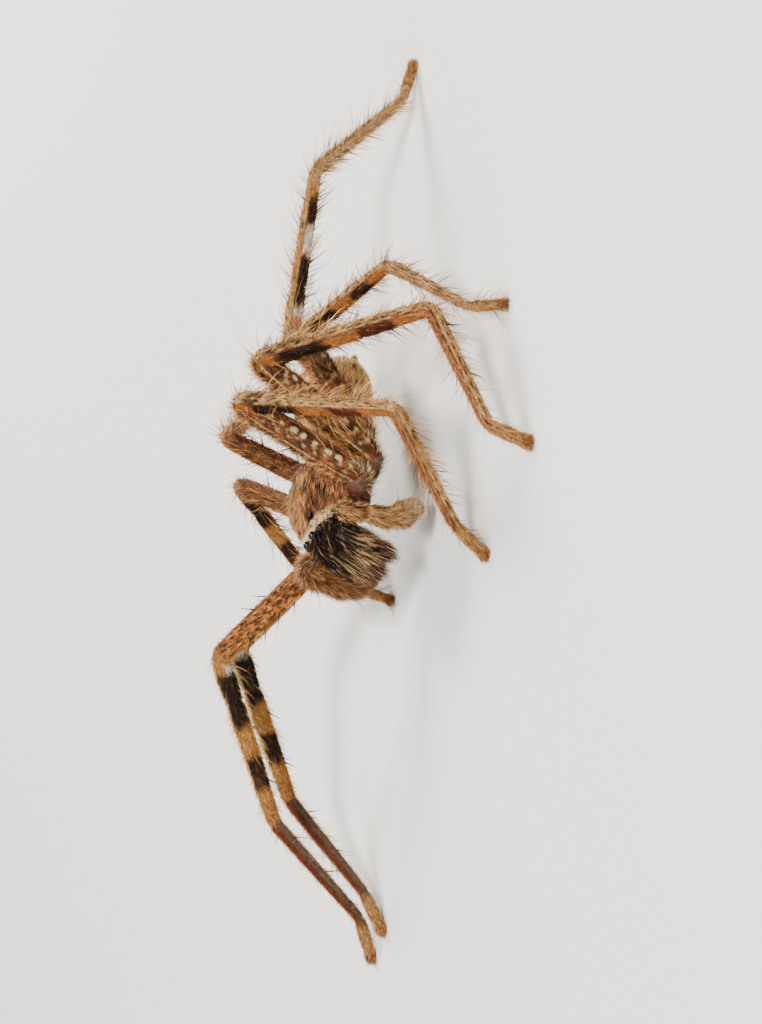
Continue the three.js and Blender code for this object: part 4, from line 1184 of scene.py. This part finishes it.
# densities are per square mm, the rest in mm or shares of a hair's length
coats = {
    "leg": {"Hairs per square mm": 104, "Thickness": 0.027, "Lift": 0.36, "Scatter": 0.15, "Contrast": 0.3},
    "body": {"Hairs per square mm": 110, "Thickness": 0.023, "Lift": 0.15, "Scatter": 0.06,
             "Clumps per metre": 2800.0},
    "abdomen": {"Hairs per square mm": 110, "Thickness": 0.028, "Lift": 0.4, "Scatter": 0.2,
                "Contrast": 0.3, "Clump": 0.5, "Hair": down},
    "jaw": {"Hairs per square mm": 110, "Thickness": 0.014, "Lift": 0.34, "Scatter": 0.2, "Bend": -0.1,
            "Segments": 3, "Clumps per metre": 6000.0, "Clump": 0.6},
    "palp": {"Hairs per square mm": 110, "Thickness": 0.02, "Lift": 0.38, "Scatter": 0.25, "Contrast": 0.5,
             "Clumps per metre": 4500.0},
}
longHair = {"Density name": "bristleDensity", "Length name": "bristleLength", "Tint name": "bristleTint",
            "Hairs per square mm": 1.8, "Length": 1.2, "Thickness": 0.016, "Lift": 1.5, "Scatter": 0.35,
            "Bend": -0.5, "Segments": 3}
fringeHair = dict(longHair, **{"Density name": "fringeDensity", "Hairs per square mm": 9.0, "Length": 0.55,
                               "Thickness": 0.017, "Lift": 1.2, "Bend": -0.2, "Segments": 2})


def addCoat(name, part, kind, seed):
    base = meshOf(name + "Root", part)
    look = dict({"Hair": pile, "Seed": seed}, **coats[kind])
    look["Hairs per square mm"] *= thinned
    addPiece(name, grown(name, base, coatTree, look))
    for ending, look in (("Fringe", fringeHair), ("Bristles", longHair)):
        long = grown(name + ending, base, coatTree, dict(look, Seed=seed + 40, Hair=bristleHair))
        if len(long.vertices):
            addPiece(name + ending, long)
    bpy.data.meshes.remove(base)


skinParts = []
for side in sideSign:
    for number in legSizes:
        skinParts.append(legSurface(side, number, *legGrids["skin"]))
        addCoat(f"{side}Leg{number}Coat", legSurface(side, number, *legGrids["coat"]), "leg",
                number + (10 if side == "left" else 20))
    for surface, kind, slot in ((cheliceraSurface, "jaw", "jaw"), (palpSurface, "palp", "leg")):
        skinParts.append(surface(side))
        addCoat(side + kind.title() + "Coat", skinParts[-1], kind, 61 + sideSign[side])
print("legs, jaws and palps are ready")

for name, surface, kind, slot in (("carapaceCoat", carapaceSurface, "body", "shell"),
                                  ("sternumCoat", bodyFill, "body", "shell"),
                                  ("abdomenCoat", abdomenSurface, "abdomen", "belly"),
                                  ("spinneretCoat", spinneretSurface, "leg", "belly")):
    skinParts.append(surface())
    addCoat(name, skinParts[-1], kind, len(name))
print("body coats are ready")

# stout black spines stand at the same places as the solids' ones
spinePlaces = {  # segment: share of its length and degrees round from its upper side
    1: [(0.5, 15), (0.36, 115), (0.68, 110), (0.36, -105), (0.68, -100)],
    2: [(0.42, 140), (0.42, -140), (0.74, 140), (0.74, -140)],
    3: [(0.18, 125), (0.18, -125), (0.55, 180)],
}
spineLook = {"Length": 2.5, "Thickness": 0.085, "Bend": -0.12, "Seed": 5, "Horn": spineHorn}
spineLean, spineSunk = 0.75, 0.1


def spineRoots():
    places, ways, outs = [], [], []
    for side, number in legPose:
        joints = legJoints(side, number)
        for segment, spots in spinePlaces.items():
            run = joints[segment + 1] - joints[segment]
            along = unit(run)
            back = unit(np.array((0, 0, 1)) - along * along[2])
            across = unit(np.cross(back, along))
            for share, degrees in spots:
                turn = math.radians(degrees * sideSign[side])
                out = back * math.cos(turn) + across * math.sin(turn)
                radius = np.interp(share, *zip(*legForm["radii"][segment])) * legSizes[number]["stout"]
                radius -= legForm["coatDepth"][segment]
                places.append(joints[segment] + run * share + out * (radius - spineSunk))
                ways.append(unit(out + along * spineLean))
                outs.append(out)
    mesh, count = pointMesh("spineRoots", places), len(places)
    rootUv = np.c_[np.linspace(0.02, 0.98, count), np.full(count, 0.5), np.zeros(count)]
    for name, values in (("way", ways), ("outward", outs), ("rootUv", rootUv)):
        setValues(mesh, name, "FLOAT_VECTOR", values)
    setValues(mesh, "size", "FLOAT", np.ones(count))
    return mesh


addPiece("spines", grown("spines", spineRoots(), spineTree, spineLook))
print("spines are ready")

claw = {
    "radius": 0.07, "apart": 0.16, "ahead": 0.3, "up": 0.12,
    "path": [(-0.2, 0), (0.15, 0.06), (0.4125, -0.06), (0.4675, -0.38)],  # ahead and up
}


def clawSurface(side, number):
    joints = legJoints(side, number)
    along = unit((joints[5] - joints[4]) * (1, 1, 0))
    across = np.cross((0, 0, 1), along)
    parts = []
    for sign in (-1, 1):
        root = joints[5] + along * claw["ahead"] * legSizes[number]["stout"] + (0, 0, claw["up"])
        points = [root + across * sign * claw["apart"] + along * ahead + (0, 0, up)
                  for ahead, up in claw["path"]]
        parts.append(simpleTube(points, 12, lambda shares: claw["radius"] * (1 - 0.75 * shares), 10,
                                (0, 0, 1), tint=black))
    return joined(parts)


eyeParts = [ball(inBody(np.array(eye["place"]) * (1, sign, 1)), eye["radius"]) for eye in eyes.values()
            for sign in (1, -1)]


def nodesOf(*endings):
    return [node for node in frame["nodes"] if node.endswith(endings)]


flesh = [node for node in frame["nodes"] if node not in nodesOf("_eye", "_fang")]
for name, parts, material, slot, replaced in (
        ("claws", [clawSurface(*leg) for leg in legPose], fangHorn, "leg", ()),
        ("skin", skinParts, cuticle, "leg", flesh),
        ("eyes", eyeParts, eyeGlass, "eye", nodesOf("_eye")),
        ("fangs", [fangSurface(side) for side in sideSign], fangHorn, "fang", nodesOf("_fang"))):
    addPiece(name, meshOf(name, joined(parts), material), replaced)
